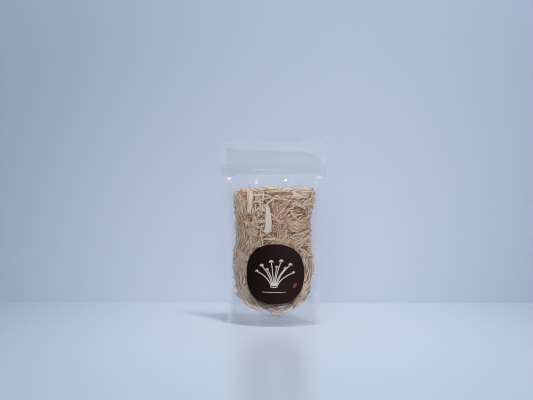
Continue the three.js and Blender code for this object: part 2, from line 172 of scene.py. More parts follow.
def set_values(mesh, key, values):
    """Stores a number or a vector for each point of a mesh, under a name that a material can read."""
    values = np.ascontiguousarray(values, float)
    if values.ndim == 1:
        mesh.attributes.new(key, "FLOAT", "POINT").data.foreach_set("value", values)
    else:
        mesh.attributes.new(key, "FLOAT_VECTOR", "POINT").data.foreach_set("vector", values.ravel())


# %% A closed sheet between two grids
RIM_ANGLE = math.radians(50)  # edges that turn more than this are shaded as edges


def sheet_faces(rows, columns):
    at = np.arange(rows * columns).reshape(rows, columns)
    cells = np.stack([at[:-1, :-1], at[:-1, 1:], at[1:, 1:], at[1:, :-1]], -1).reshape(-1, 4)
    rim = np.concatenate([at[0], at[1:, -1], at[-1, -2::-1], at[-2:0:-1, 0]])
    following = np.roll(rim, -1)
    upper = cells + rows * columns
    side = np.stack([rim, following, following + rows * columns, rim + rows * columns], -1)
    return np.concatenate([cells[:, ::-1], upper, side])


def sheet_between(name, lower, upper, **values):
    """A closed piece between two grids of points, with each value in values stored per point."""
    rows, columns = lower.shape[:2]
    faces = sheet_faces(rows, columns)
    points = np.concatenate([lower.reshape(-1, 3), upper.reshape(-1, 3)])
    a, b, c, d = (points[faces[:, i]] for i in range(4))
    volume = np.einsum("ij,ij->i", a, np.cross(b, c)).sum() + np.einsum("ij,ij->i", a, np.cross(c, d)).sum()
    if volume < 0:
        faces = faces[:, ::-1]
    piece = add_object(name, points, faces.tolist())
    piece.data.set_sharp_from_angle(angle=RIM_ANGLE)
    for key, value in values.items():
        value = np.broadcast_to(value, (rows, columns, *np.shape(value)[2:]))
        value = value.reshape(rows * columns, *value.shape[2:])
        set_values(piece.data, key, np.concatenate([value, value]))
    return piece


def grid_normals(grid, level_ends=False):
    """Unit normals of a grid of points; level at its first and last row if asked, so a foot stays flat."""
    normals = np.cross(np.gradient(grid, axis=1), np.gradient(grid, axis=0))
    if level_ends:
        normals[[0, -1], :, 2] = 0
    return normals / np.linalg.norm(normals, axis=-1, keepdims=True)


print("two grids of 3 by 4 points make", len(sheet_faces(3, 4)), "faces")

# %% [markdown]
# ## Creases and dents
#
# Film that is filled and handled isn't smooth. Short creases run down from the ends of the zip, soft
# puckers hang below it, small blisters stand where it is pulled over the pile, and shallow dents lie
# between the stems that touch it. They are sums of simple bumps in the plane of the sheet, small enough
# that the sheet keeps its place. The blisters are what catches the light as bright sparks.

# %% Creases and blisters
CREASES = [  # from x, z to x, z, then height in mm and half width in mm
    (54.5, 167.5, 43.5, 156.5, 1.1, 1.5),
    (-55, 167.5, -44, 155, 1.1, 1.5),
    (53, 160, 42, 146, 0.7, 1.6),
    (55, 160, 50, 138, 0.6, 1.4),
    (-53, 166, -43, 150, 0.9, 1.6),
    (-55, 158, -51, 136, 0.5, 1.3),
    (20, 162, 26, 152, 0.3, 2.2),
    (-18, 164, -22, 154, 0.5, 2.0),
    (-47, 40, -36, 52, 0.5, 1.6),
    (47, 40, 38, 50, 0.5, 1.6),
    (44, 96, 40, 78, 0.35, 1.3),
    (-44, 110, -41, 92, 0.35, 1.3),
]
PUCKER_LENGTH = 33.0  # from one soft fold below the zip to the next
BLISTERS = [  # x, z, height and radius
    (-50.2, 162.6, 1.6, 1.8),
    (-19.8, 157.6, 0.70, 1.9),
    (12.4, 161.3, 0.75, 2.1),
    (50.8, 163.4, 1.4, 1.7),
]
DENTS, DENT_SIZES, DENT_HEIGHTS = 60, (4, 12), (-0.22, 0.22)
print(len(CREASES), "creases,", len(BLISTERS), "blisters and", DENTS, "dents on each side")


# %% Relief of the film
def crease_profile(x, z, x0, z0, x1, z1, half):
    """1 along a line, falling to 0 at half its width and towards both of its ends."""
    length = math.hypot(x1 - x0, z1 - z0)
    ux, uz = (x1 - x0) / length, (z1 - z0) / length
    along = (x - x0) * ux + (z - z0) * uz
    off = np.abs((x - x0) * uz - (z - z0) * ux)
    fade = np.clip(along / (0.15 * length), 0, 1) * np.clip((length - along) / (0.6 * length), 0, 1)
    return np.clip(1 - off / half, 0, 1) ** 1.5 * fade


def film_relief(x, z, side):
    """How far the film stands out from its smooth form, in mm, and how creased it is from 0 to 1."""
    rng = np.random.default_rng(7 if side < 0 else 8)
    pucker = np.cos((x + 19) * 2 * np.pi / PUCKER_LENGTH + (side + 1) * 0.6)
    relief = 0.2 * np.exp(-(((z - 160) / 9) ** 2)) * pucker
    for _ in range(DENTS):
        cx, cz = rng.uniform(-46, 46), rng.uniform(20, 160)
        size, high = rng.uniform(*DENT_SIZES), rng.uniform(*DENT_HEIGHTS)
        relief = relief + high * np.exp(-(((x - cx) / size) ** 2 + ((z - cz) / size) ** 2))
    folds = creased = 0 * x
    for x0, z0, x1, z1, high, half in CREASES:
        mirror = 1 if side < 0 else -1
        line = crease_profile(x, z, mirror * x0, z0, mirror * x1, z1, half)
        folds = folds + high * line
        creased = np.maximum(creased, line * min(high, 1))
    off_seal = half_width(z) - np.abs(x)
    relief = np.maximum(relief, -0.4) * np.clip(off_seal / 6, 0, 1) * (1 - rise(156, 167, z))
    for dx, dz, high, size in BLISTERS:
        relief = relief + high * np.exp(-(((x + side * dx) ** 2 + (z - dz) ** 2) / size**2))
    inside = np.clip(off_seal / 2, 0, 1) * rise(8, 20, z) * (1 - rise(165.5, 167, z))
    return (relief + folds) * inside, creased * inside


across_film = film_relief(np.linspace(-50, 50, 101), np.full(101, 150.0), -1)[0]
print("relief at z 150:", round(float(across_film.min()), 2), "to", round(float(across_film.max()), 2), "mm")

# %% [markdown]
# ## Film
#
# The sheet's own thickness is only about a tenth of a millimetre, so you see through it twice and notice
# it only where it reflects a light, where it is creased, or where heat has joined two sheets and left
# them slightly milky. One grid makes the front or back sheet. The label stiffens the film under it and
# smooths its dents, so its place is needed here already.

# %% Grid of the film
LABEL_WIDTH, LABEL_HEIGHT, LABEL_X, LABEL_Z, LABEL_SQUARENESS = 64.0, 66.0, 3.0, 58.0, 2.4


def label_cover(x, z):
    """1 under the label, 0 away from it."""
    reach = (
        np.abs((x - LABEL_X) / (LABEL_WIDTH / 2)) ** LABEL_SQUARENESS
        + np.abs((z - LABEL_Z) / (LABEL_HEIGHT / 2)) ** LABEL_SQUARENESS
    )
    return 1 - rise(0.95, 1.25, reach)


def film_depth(x, z, side):
    """Distance of a sheet's inner face from the middle plane, with its relief."""
    relief, _ = film_relief(x, z, side)
    if side < 0:
        relief = relief * (1 - 0.85 * label_cover(x, z))
    return sheet_depth(x, z) + relief


def wall_grid(side):
    s = np.concatenate([np.linspace(-2, -1, 6), np.linspace(-1, 1, 109)[1:-1], np.linspace(1, 2, 6)])
    z = np.concatenate([np.linspace(0, ZIP_FROM, 130), np.linspace(ZIP_FROM, POUCH_HEIGHT, 34)[1:]])
    s, z = np.meshgrid(s, z)
    x = place_across(s, z)
    return s, x, z, np.stack([x, side * film_depth(x, z, side) + wave(x, z), z], -1)


print("points on each face of a wall sheet:", wall_grid(-1)[0].size)

# %% [markdown]
# Two values per point tell the material how the film looks there. Haze is the milkiness of seals, creases
# and the edges of the zip, and of a few spots painted milky where the light's sparks fall, as painted
# highlights. The other value is painted shade: the film is darkened along soft folds in the header and just
# below the label, where the label's shadow falls.

# %% Haze and painted shade values
def pocket_top(x):
    """Lower limit of the top seal: it sinks to the right, then rounds down to the side seal."""
    return 198.5 - 0.035 * (x + 54) - 9.0 * rise(30, 56, x) ** 2


CLEAR_HAZE = 0.008  # even clear film is a little milky
ZIP_LINES = [(174.5, 0.12, -6, 24), (168.2, 0.13, 6, 48)]  # z, haze, middle, reach
PAINTED_GLINT_SPOTS = [  # milky spots painted where the key light's sparks fall, as painted highlights: x, z, reach along x and z, haze
    (-50.5, 164.6, 5.0, 1.2, 0.45),
    (-19.3, 159.2, 2.6, 2.0, 0.22),
    (51.5, 166.0, 3.0, 1.0, 0.4),
]


def wall_haze(s, x, z, side):
    _, creased = film_relief(x, z, side)
    rng = np.random.default_rng(3)
    blotch = 0.8 + 0.2 * np.sin(x * 0.31 + rng.uniform(0, 6)) * np.sin(z * 0.23 + rng.uniform(0, 6))
    side_seal = rise(0.985, 1.0, np.abs(s))
    top_seal = rise(-0.8, 0.8, z - pocket_top(x))
    foot_seal = 1 - rise(FOOT_SEAL - 0.5, FOOT_SEAL + 0.5, z)
    corner = 1 - rise(-0.8, 0.8, z - seal_height(s))
    zip_line = sum(
        milk * np.exp(-(((z - height) / 0.7) ** 2)) * (1 - rise(reach - 8, reach, np.abs(x - middle)))
        for height, milk, middle, reach in ZIP_LINES
    )
    glint_spots = sum(
        milk * np.exp(-(((x + side * at_x) / reach_x) ** 2) - ((z - at_z) / reach_z) ** 2)
        for at_x, at_z, reach_x, reach_z, milk in PAINTED_GLINT_SPOTS
    )
    shoulder = rise(148, 158, z) * (1 - rise(166, 169, z))
    # how milky each broad zone is: the foot is sealed through four sheets, so it is the milkiest
    broad = [0.035 * side_seal, 0.045 * top_seal, 0.10 * foot_seal, 0.07 * corner, 0.02 * shoulder]
    return CLEAR_HAZE + blotch * np.max([*broad, zip_line, glint_spots, 0.35 * creased], axis=0)


PAINTED_LABEL_SHADOW = 0.18  # painted shadow of the label: share of light kept back just below it


def wall_painted_shade(s, x, z, side):
    """Painted shade: the share of light that a face of the sheet keeps back, along header folds and under the
    label.
    """
    top_fold_shade = 0.016 * np.exp(-(((z - pocket_top(x) + 2.6) / 1.4) ** 2)) * (np.abs(s) < 1)
    left_fold_shade = 0.014 * np.exp(-(((z - 184.2) / 1.2) ** 2)) * (1 - rise(12, 20, np.abs(x + 42)))
    shaded = PAINTED_LABEL_SHADOW * label_cover(x * 1.1, z + 5) * (side < 0)
    return top_fold_shade + left_fold_shade + shaded


# %% Front and back sheets
walls = {}
for side, name, node in [(-1, "front_film", "pouch_front_film"), (1, "back_film", "pouch_back_film")]:
    s, x, z, inner = wall_grid(side)
    outer = inner - side * FILM * grid_normals(inner, level_ends=True)
    values = {"haze": wall_haze(s, x, z, side), "painted_shade": wall_painted_shade(s, x, z, side)}
    walls[name] = sheet_between(name, inner, outer, **values)
    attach(walls[name], "root")
    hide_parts(node)
    print(name, len(walls[name].data.polygons), "faces, haze up to", round(float(values["haze"].max()), 2))

# %% [markdown]
# The base sheet starts sealed against the front, leaves it along a curve that is low in the middle and
# high at the sides, arches over to the back and comes down again. Its free part is as long as the fold is
# deep, which sets how high the arch can stand.

# %% Base sheet
BASE_CLEAR = 0.3  # between the base sheet and a wall sheet
LEAST_ARCH = 0.8  # the arch stands at least this high above its seals
ARCH_LEVEL = 30.0  # the height at which the bag's width is taken for the arch


def arch_top(leave, reach):
    """Height of the fold, from the height of the seals and how far apart they are held."""
    return leave + np.sqrt(np.maximum((GUSSET_FOLD - leave) ** 2 - reach**2, LEAST_ARCH**2))


def base_grid():
    s = np.concatenate([np.linspace(-2, -1, 5), np.linspace(-1, 1, 81)[1:-1], np.linspace(1, 2, 5)])[None]
    leave = seal_height(s)
    depth_at = lambda z: inner_depth(place_across(s, z), z) - BASE_CLEAR - FILM / 2
    reach = depth_at(leave)
    fold = arch_top(leave, reach)
    rows = []
    for t in np.linspace(0, 1, 12):
        z = t * leave
        rows.append(np.stack([place_across(s, z), -depth_at(z), z], -1)[0])
    for t in np.linspace(0, 1, 17)[1:]:
        y = (1 - t) * reach
        z = leave + (fold - leave) * (1 - (1 - t) ** 2)
        rows.append(np.stack([place_across(s, z), -y, z], -1)[0])
    front = np.array(rows)
    back = front[-2::-1] * [1, -1, 1]
    return np.concatenate([front, back])


base_rows = base_grid()
base_normals = grid_normals(base_rows, level_ends=True)
base_film = sheet_between(
    "base_film", base_rows - FILM / 2 * base_normals, base_rows + FILM / 2 * base_normals, haze=0.05
)
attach(base_film, "root")
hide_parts("pouch_base_gusset")
print("base_film", len(base_film.data.polygons), "faces; arch top", round(base_rows[:, :, 2].max(), 1), "mm")

# %% [markdown]
# ## The finish of clear film
#
# Glass-like refraction isn't needed for film this thin: light goes straight through, a few per cent is
# reflected, and more of it at a grazing angle. So the material mixes a Transparent shader with a Glossy
# one by how far the surface turns away, and then a little milky Principled plastic by the haze value.
# The same few nodes serve the film, the base sheet, which is scuffed from standing and gleams less
# sharply, and the thicker zip, each with its own numbers.

# %% Node helpers
def new_material(name):
    material = bpy.data.materials.new(name)
    material.use_nodes = True
    material.node_tree.nodes.clear()
    return material


class Graph:
    """Adds nodes to a tree and links them, so that a material reads from top to bottom."""

    def __init__(self, tree):
        self.tree = tree

    def add(self, kind, inputs=None, **settings):
        node = self.tree.nodes.new(kind)
        for key, value in settings.items():
            setattr(node, key, value)
        for key, value in (inputs or {}).items():
            socket = node.inputs[key]
            if isinstance(value, bpy.types.NodeSocket):
                self.tree.links.new(value, socket)
            else:
                socket.default_value = value
        return node

    def math(self, operation, *values, clamp=False):
        inputs = dict(enumerate(values))
        return self.add("ShaderNodeMath", inputs, operation=operation, use_clamp=clamp).outputs[0]

    def span(self, value, low, high, to_low=0.0, to_high=1.0):
        inputs = {"Value": value, "From Min": low, "From Max": high, "To Min": to_low, "To Max": to_high}
        return self.add("ShaderNodeMapRange", inputs).outputs[0]

    def mix(self, factor, first, second, blend="MIX"):
        node = self.add("ShaderNodeMix", {0: factor}, data_type="RGBA", blend_type=blend)
        for socket, value in ((node.inputs[6], first), (node.inputs[7], second)):
            if isinstance(value, bpy.types.NodeSocket):
                self.tree.links.new(value, socket)
            else:
                socket.default_value = value
        return node.outputs[2]


# %% Clear film
def clear_plastic(name, roughness, milky, reads_haze_and_shade=False, haze=0.1, crinkle=0.02, gleam=0.02):
    material = new_material(name)
    g = Graph(material.node_tree)
    place = g.add("ShaderNodeTexCoord").outputs["Object"]
    noise = g.add("ShaderNodeTexNoise", {"Vector": place, "Scale": 120.0, "Detail": 3.0, "Roughness": 0.55})
    bump = g.add("ShaderNodeBump", {"Strength": crinkle * 10, "Distance": 0.0004, "Height": noise.outputs[0]})
    away = g.add("ShaderNodeLayerWeight", {"Blend": 0.5, "Normal": bump.outputs[0]}).outputs["Facing"]
    # the share that is reflected: gleam head-on, and nearly all of it at a grazing angle
    mirror = g.math("MULTIPLY_ADD", g.math("POWER", away, 5.0), 0.9, gleam, clamp=True)
    through = g.add("ShaderNodeBsdfTransparent", {"Color": (0.995, 0.995, 0.995, 1)})
    if reads_haze_and_shade:
        # painted shade: less light passes where the sheet is darkened
        painted_shade = g.add("ShaderNodeAttribute", attribute_name="painted_shade").outputs["Fac"]
        g.tree.links.new(g.math("SUBTRACT", 0.995, painted_shade), through.inputs["Color"])
    gloss = g.add("ShaderNodeBsdfAnisotropic", {"Roughness": roughness, "Normal": bump.outputs[0]})
    film = g.add("ShaderNodeMixShader", {0: mirror, 1: through.outputs[0], 2: gloss.outputs[0]})
    milk = g.add(
        "ShaderNodeBsdfPrincipled",
        {"Base Color": (*milky, 1), "Roughness": 0.5, "Normal": bump.outputs[0]},
    )
    if reads_haze_and_shade:
        haze = g.add("ShaderNodeAttribute", attribute_name="haze").outputs["Fac"]
    both = g.add("ShaderNodeMixShader", {0: haze, 1: film.outputs[0], 2: milk.outputs[0]})
    g.add("ShaderNodeOutputMaterial", {"Surface": both.outputs[0]})
    return material


MILKY = (0.86, 0.89, 0.95)
film_finish = clear_plastic("clear film", 0.10, MILKY, reads_haze_and_shade=True)
for piece in walls.values():
    piece.data.materials.append(film_finish)
base_film.data.materials.append(clear_plastic("dull film", 0.4, MILKY, reads_haze_and_shade=True))
print(film_finish.name, "has", len(film_finish.node_tree.nodes), "nodes")

# %% [markdown]
# ## Zip
#
# The two strips of the zip are extruded plastic with an arrow-shaped rib that snaps into a groove. Their
# solids already have that cross-section, so they stay, and only their finish changes: thicker and milkier
# than the film, so the zip shows as faint lines across the pouch.

# %% Zip strips
zip_finish = clear_plastic("zip strip", 0.12, (0.84, 0.88, 0.95), haze=0.006, crinkle=0.0, gleam=0.008)
for node in ("zip_rib_strip", "zip_groove_strip"):
    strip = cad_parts[node]
    strip.data.materials.clear()
    strip.data.materials.append(zip_finish)
    print(node, "keeps its shape and takes the finish", zip_finish.name)

# %% [markdown]
# ## Label
#
# The label is a sticker of smooth coated paper, nearly round. A square grid of points is pushed out to
# the rounded outline, ring by ring, so that it has no pole in the middle where shading could pinch. It
# lies on the film, just clear of it, and follows what little relief the film has under it.

# %% Label
LABEL_THICKNESS, LABEL_CLEAR = 0.14, 0.05


def on_label(x, z, height):
    """Points at a height over the film's outer face, where the label and its print lie."""
    return np.stack([x, -(film_depth(x, z, -1) + FILM * 1.1 + height), z], -1)


def label_outline(angle):
    n = LABEL_SQUARENESS
    return (np.abs(np.cos(angle)) ** n + np.abs(np.sin(angle)) ** n) ** (-1 / n)


u, v = np.meshgrid(np.linspace(-1, 1, 61), np.linspace(-1, 1, 61))
ring, angle = np.maximum(np.abs(u), np.abs(v)), np.arctan2(v, u)
label_x = LABEL_X + LABEL_WIDTH / 2 * ring * label_outline(angle) * np.cos(angle)
label_z = LABEL_Z + LABEL_HEIGHT / 2 * ring * label_outline(angle) * np.sin(angle)
label = sheet_between(
    "label",
    on_label(label_x, label_z, LABEL_CLEAR),
    on_label(label_x, label_z, LABEL_CLEAR + LABEL_THICKNESS),
)
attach(label, "root")
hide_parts("front_label")
print("label", len(label.data.polygons), "faces")

# %% [markdown]
# Coated paper is satin and nearly free of grain. The ink on it is almost black with a warm tone, and is
# painted a little paler towards one side, a painted sheen of the light from there; a fine fibre noise in
# colour and relief keeps it from looking moulded.

# %% Coated paper
label_paper = new_material("dark coated paper")
g = Graph(label_paper.node_tree)
place = g.add("ShaderNodeTexCoord").outputs["Object"]
fibre = g.add("ShaderNodeTexNoise", {"Vector": place, "Scale": 900.0, "Detail": 4.0}).outputs[0]
cloud = g.add("ShaderNodeTexNoise", {"Vector": place, "Scale": 60.0, "Detail": 2.0}).outputs[0]
ink = g.mix(g.span(fibre, 0.3, 0.7), (0.0036, 0.0012, 0.0010, 1), (0.0060, 0.0024, 0.0020, 1))
across = g.add("ShaderNodeSeparateXYZ", {"Vector": place}).outputs["X"]
ink = g.mix(g.span(across, -0.028, 0.018), ink, (0.0190, 0.0082, 0.0078, 1))  # painted sheen: paler there, as lit from that side
paper_bump = g.add("ShaderNodeBump", {"Strength": 0.15, "Distance": 0.0001, "Height": fibre})
satin = g.add(
    "ShaderNodeBsdfPrincipled",
    {
        "Base Color": ink,
        "Roughness": g.span(cloud, 0.3, 0.7, 0.40, 0.50),
        "Specular IOR Level": 0.08,
        "Normal": paper_bump.outputs[0],
    },
)
g.add("ShaderNodeOutputMaterial", {"Surface": satin.outputs[0]})
label.data.materials.append(label_paper)
print(label_paper.name, "has", len(label_paper.node_tree.nodes), "nodes")

# %% [markdown]
# The print is a spray of enoki drawn in cream line, with a small rust-coloured leaf. Each stroke is a
# ribbon a few hundredths of a millimetre thick, laid over the label's surface. As geometry it stays
# sharp from close by, and needs no image.

# %% Strokes
def stroke(path, widths):
    """The two long edges of a stroke along points (x, z), as one grid with two columns."""
    path = np.array(path, float)
    along = np.gradient(path, axis=0)
    along /= np.linalg.norm(along, axis=1, keepdims=True)
    aside = np.stack([-along[:, 1], along[:, 0]], -1) * np.broadcast_to(widths, len(path))[:, None] / 2
    return np.stack([path - aside, path + aside], 1)


def curve_through(start, bend, end, count=14):
    t = np.linspace(0, 1, count)[:, None]
    start, bend, end = (np.array(p, float) for p in (start, bend, end))
    return (1 - t) ** 2 * start + 2 * t * (1 - t) * bend + t * t * end


# %% A spray of enoki
def enoki_drawing():
    """Strokes of a spray of enoki: a stem each, and a cap drawn as a thick domed stroke."""
    strokes = []
    root = np.array([LABEL_X - 1.0, LABEL_Z - 13.0])
    heads = [(-19, 5, 3.4), (-13.5, 11, 4.4), (-7.5, 7, 3.2), (-3, 15, 4.8), (3, 9.5, 3.6), (8, 16, 4.4)]
    heads += [(12.5, 8, 3.6), (18, 12, 4.2), (21.5, 3.5, 3.0)]
    for dx, dz, cap in heads:
        head = root + [dx, dz + 11]
        foot = root + [dx * 0.16, 0]
        strokes.append(stroke(curve_through(foot, root + [dx * 0.35, dz * 0.5 + 8], head), 0.9))
        tilt = dx * 0.012
        side = np.array([math.cos(tilt), -math.sin(tilt)]) * cap / 2
        top = head + np.array([math.sin(tilt), math.cos(tilt)]) * cap * 0.62
        dome = curve_through(head - side, 2 * top - head, head + side)
        flat = curve_through(head - side, head, head + side)
        swell = np.sin(np.linspace(0.25, np.pi - 0.25, 14))
        strokes.append(stroke((dome + flat) / 2, swell * cap * 0.42 + 0.15))
    strokes.append(stroke(curve_through(root + [-4.2, -0.6], root + [0, -2.4], root + [4.2, -0.6]), 0.8))
    strokes.append(stroke(curve_through(root + [-13, -6.5], root + [0, -7.3], root + [13, -6.5], 18), 0.5))
    return strokes


spray = enoki_drawing()
print("strokes in the spray:", len(spray))

# %% Lay the print on the label
PRINT_HEIGHT = 0.03


def printed(name, strokes):
    points, faces = [], []
    surface = LABEL_CLEAR + LABEL_THICKNESS
    for grid in strokes:
        rows, start = len(grid), len(points)
        for height in (surface - PRINT_HEIGHT, surface + PRINT_HEIGHT):
            points += on_label(grid[..., 0], grid[..., 1], height).reshape(-1, 3).tolist()
        faces += (sheet_faces(rows, 2)[:, ::-1] + start).tolist()
    piece = add_object(name, points, faces, smooth=False)
    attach(piece, "root")
    return piece


label_print = printed("label_print", spray)
leaf_foot = np.array([LABEL_X + 20, LABEL_Z - 15.5])
leaf_line = curve_through(leaf_foot, leaf_foot + [2, 3.5], leaf_foot + [4.5, 5.5])
leaf_widths = np.sin(np.linspace(0.15, np.pi - 0.15, 14)) * 3.2
label_leaf = printed("label_leaf", [stroke(leaf_line, leaf_widths)])
print("print", len(label_print.data.polygons), "faces, leaf", len(label_leaf.data.polygons))


# %% Inks
def print_ink(name, color):
    material = new_material(name)
    g = Graph(material.node_tree)
    place = g.add("ShaderNodeTexCoord").outputs["Object"]
    grain = g.add("ShaderNodeTexNoise", {"Vector": place, "Scale": 1500.0, "Detail": 2.0}).outputs[0]
    dull = [c * 0.72 for c in color]
    tone = g.mix(g.span(grain, 0.35, 0.65), (*dull, 1), (*color, 1))
    matt = g.add("ShaderNodeBsdfPrincipled", {"Base Color": tone, "Roughness": 0.55})
    g.add("ShaderNodeOutputMaterial", {"Surface": matt.outputs[0]})
    return material


label_print.data.materials.append(print_ink("cream ink", (0.68, 0.61, 0.54)))
label_leaf.data.materials.append(print_ink("rust ink", (0.19, 0.04, 0.022)))
print("inks:", label_print.data.materials[0].name, "and", label_leaf.data.materials[0].name)

# %% [markdown]
# ## Where the mushrooms lie
#
# The pile fills the pouch up to a thumb's breadth below the zip and presses lightly on the film. It has
# settled, so it stands a little away from the side seals, more at some heights than at others.

# %% Outline of the pile
FILL_TOP, FILL_CLEAR = 150.0, 0.5
TOP_PLACES = [-48, -42, -36, -24, 0, 14, 22, 40, 48]  # the pile's top, from left to right
TOP_HEIGHTS = [141, 150, 154, 153.5, 154.5, 156.5, 154, 153.5, 150]
EDGE_HEIGHTS = [8, 24, 38, 55, 68, 84, 98, 112, 126, 140, 152, 160]
LEFT_EDGE = [30, 37, 43.5, 46, 46.5, 45, 43.5, 43, 44, 45.5, 47.5, 47.5]
RIGHT_EDGE = [30, 36.5, 41.5, 45.5, 46.5, 43.5, 42, 42, 43, 46, 47.5, 47.5]


def pile_edges(z):
    """How far the pile reaches to the left and right of the middle at a height, seen from the front."""
    return -np.interp(z, EDGE_HEIGHTS, LEFT_EDGE), np.interp(z, EDGE_HEIGHTS, RIGHT_EDGE)


def over_top(x, z):
    """How far the highest of some points stands over the pile's outline there."""
    return float(np.max(z - np.interp(x, TOP_PLACES, TOP_HEIGHTS)))


print("pile edges at mid-height:", [round(float(e), 1) for e in pile_edges(75.0)])

# %% [markdown]
# A few slabs, cut where many stems join, lie on the film at both sides of the bag. Stems have to pass
# under them, so their places are fixed first. They are made at the end.

# %% Places of the slabs
SLABS = [  # node, side, x, z, length, width at each end, turn in degrees, shade
    ("slab_front_upright", -1, -26, 138, 30, 5, 7, 88, 0.90),
    ("slab_front_fan", -1, -4.5, 119, 34, 9, 4, 92, 0.93),
    ("slab_front_bundle", -1, 29, 111, 26, 11, 12, 17, 0.42),
    ("slab_front_short", -1, -23, 104, 16, 9, 7, -20, 0.46),
    ("slab_front_top", -1, 31, 145, 22, 6, 8, 6, 0.55),
    ("slab_back_fan", 1, 14, 116, 32, 6, 11, 70, 0.9),
    ("slab_back_bundle", 1, -20, 84, 28, 8, 12, -25, 0.5),
    ("slab_back_low", 1, 18, 52, 24, 9, 7, 35, 0.8),
]


def slab_cover(side, x, z):
    """1 under a slab on one side, 0 away from them."""
    cover = 0 * x
    for _, slab_side, x0, z0, long, start, end, degrees, shade in SLABS:
        turn = math.radians(degrees)
        along = (x - x0) * math.cos(turn) + (z - z0) * math.sin(turn)
        aside = (z - z0) * math.cos(turn) - (x - x0) * math.sin(turn)
        half = (start + (end - start) * np.clip(along / long + 0.5, 0, 1)) / 2
        past = np.maximum((np.abs(along) - long / 2 + 1) / 2.5, (np.abs(aside) - half + 0.5) / 2)
        near = (1 - rise(0, 1, past)) * (slab_side == side)
        cover = np.maximum(cover, near * (1.0 if shade > 0.7 else 0.45))
    return cover


print("slabs in front:", sum(side < 0 for _, side, *_ in SLABS), "of", len(SLABS))

# %% [markdown]
# A place in the pile is given by its side, its x and z, and its depth below the film. Near the foot the
# base sheet arches up into the pile, so whatever would pass through that arch is lifted onto it.

# %% Places in the pile
ABOVE_ARCH = 1.1  # of the middle of a stem over the base sheet


def seal_at(x):
    """Height at which the base sheet leaves the walls, by x."""
    return seal_height(x / half_width(ARCH_LEVEL))


def arch_height(x, y):
    """Height of the base sheet under a point."""
    s = np.clip(x / half_width(ARCH_LEVEL), -1, 1)
    leave = seal_height(s)
    reach = inner_depth(x, leave) - BASE_CLEAR
    fold = arch_top(leave, reach)
    return leave + (fold - leave) * (1 - np.minimum(np.abs(y) / reach, 1) ** 2)


def fill_depth(x, z):
    return inner_depth(x, z) - FILL_CLEAR


def moved_inside(x, z, beyond):
    """Moves a whole stem, given by points x and z, so that none is further beyond the pile's outline."""
    left, right = pile_edges(z)
    x = x + max(float(np.max(left - beyond - x)), 0) - max(float(np.max(x - beyond - right)), 0)
    z = z - max(over_top(x, z - beyond), 0)
    floor = seal_at(x) + 2.5
    return x, z + max(float(np.max(floor - z)), 0)


def in_pile(side, x, z, depth):
    """Points below the film on one side, and the way out from the pile there."""
    slope_x = fill_depth(x - 0.5, z) - fill_depth(x + 0.5, z)
    slope_z = fill_depth(x, z - 0.5) - fill_depth(x, z + 0.5)
    out = np.stack([slope_x, side * np.ones_like(x), slope_z], -1)
    out /= np.linalg.norm(out, axis=-1, keepdims=True)
    point = np.stack([x, side * fill_depth(x, z), z], -1) - out * depth[..., None]
    point[..., 1] = side * np.maximum(side * point[..., 1], 0.2)
    lift = np.maximum(arch_height(point[..., 0], point[..., 1]) + ABOVE_ARCH - point[..., 2], 0)
    point[..., 2] += lift.max() if lift.ndim == 1 else lift
    return point, out


def turned(x0, z0, heading, along, aside):
    """Points given along and across a heading that starts from x0, z0."""
    return (
        x0 + along * math.cos(heading) - aside * math.sin(heading),
        z0 + along * math.sin(heading) + aside * math.cos(heading),
    )


print("top of the arch under the pile:", round(float(arch_height(0.0, 0.0)), 1), "mm")

# %% [markdown]
# ## Stems
#
# More than four thousand dried stems make the pile. Each is a bent line of a few points with a thickness,
# a shade and a browner end, drawn at random from a fixed seed for each piece. Real stems tangle in drifts
# that share a direction, so a few places in the pile comb the stems near them. A Geometry Nodes tree
# then sweeps a flattened ring along every line at once.

# %% A collection of stem lines
STEM_POINTS = 8
JOINT_OVERLAP = 0.86  # distance between two joined stems, as a share of their width


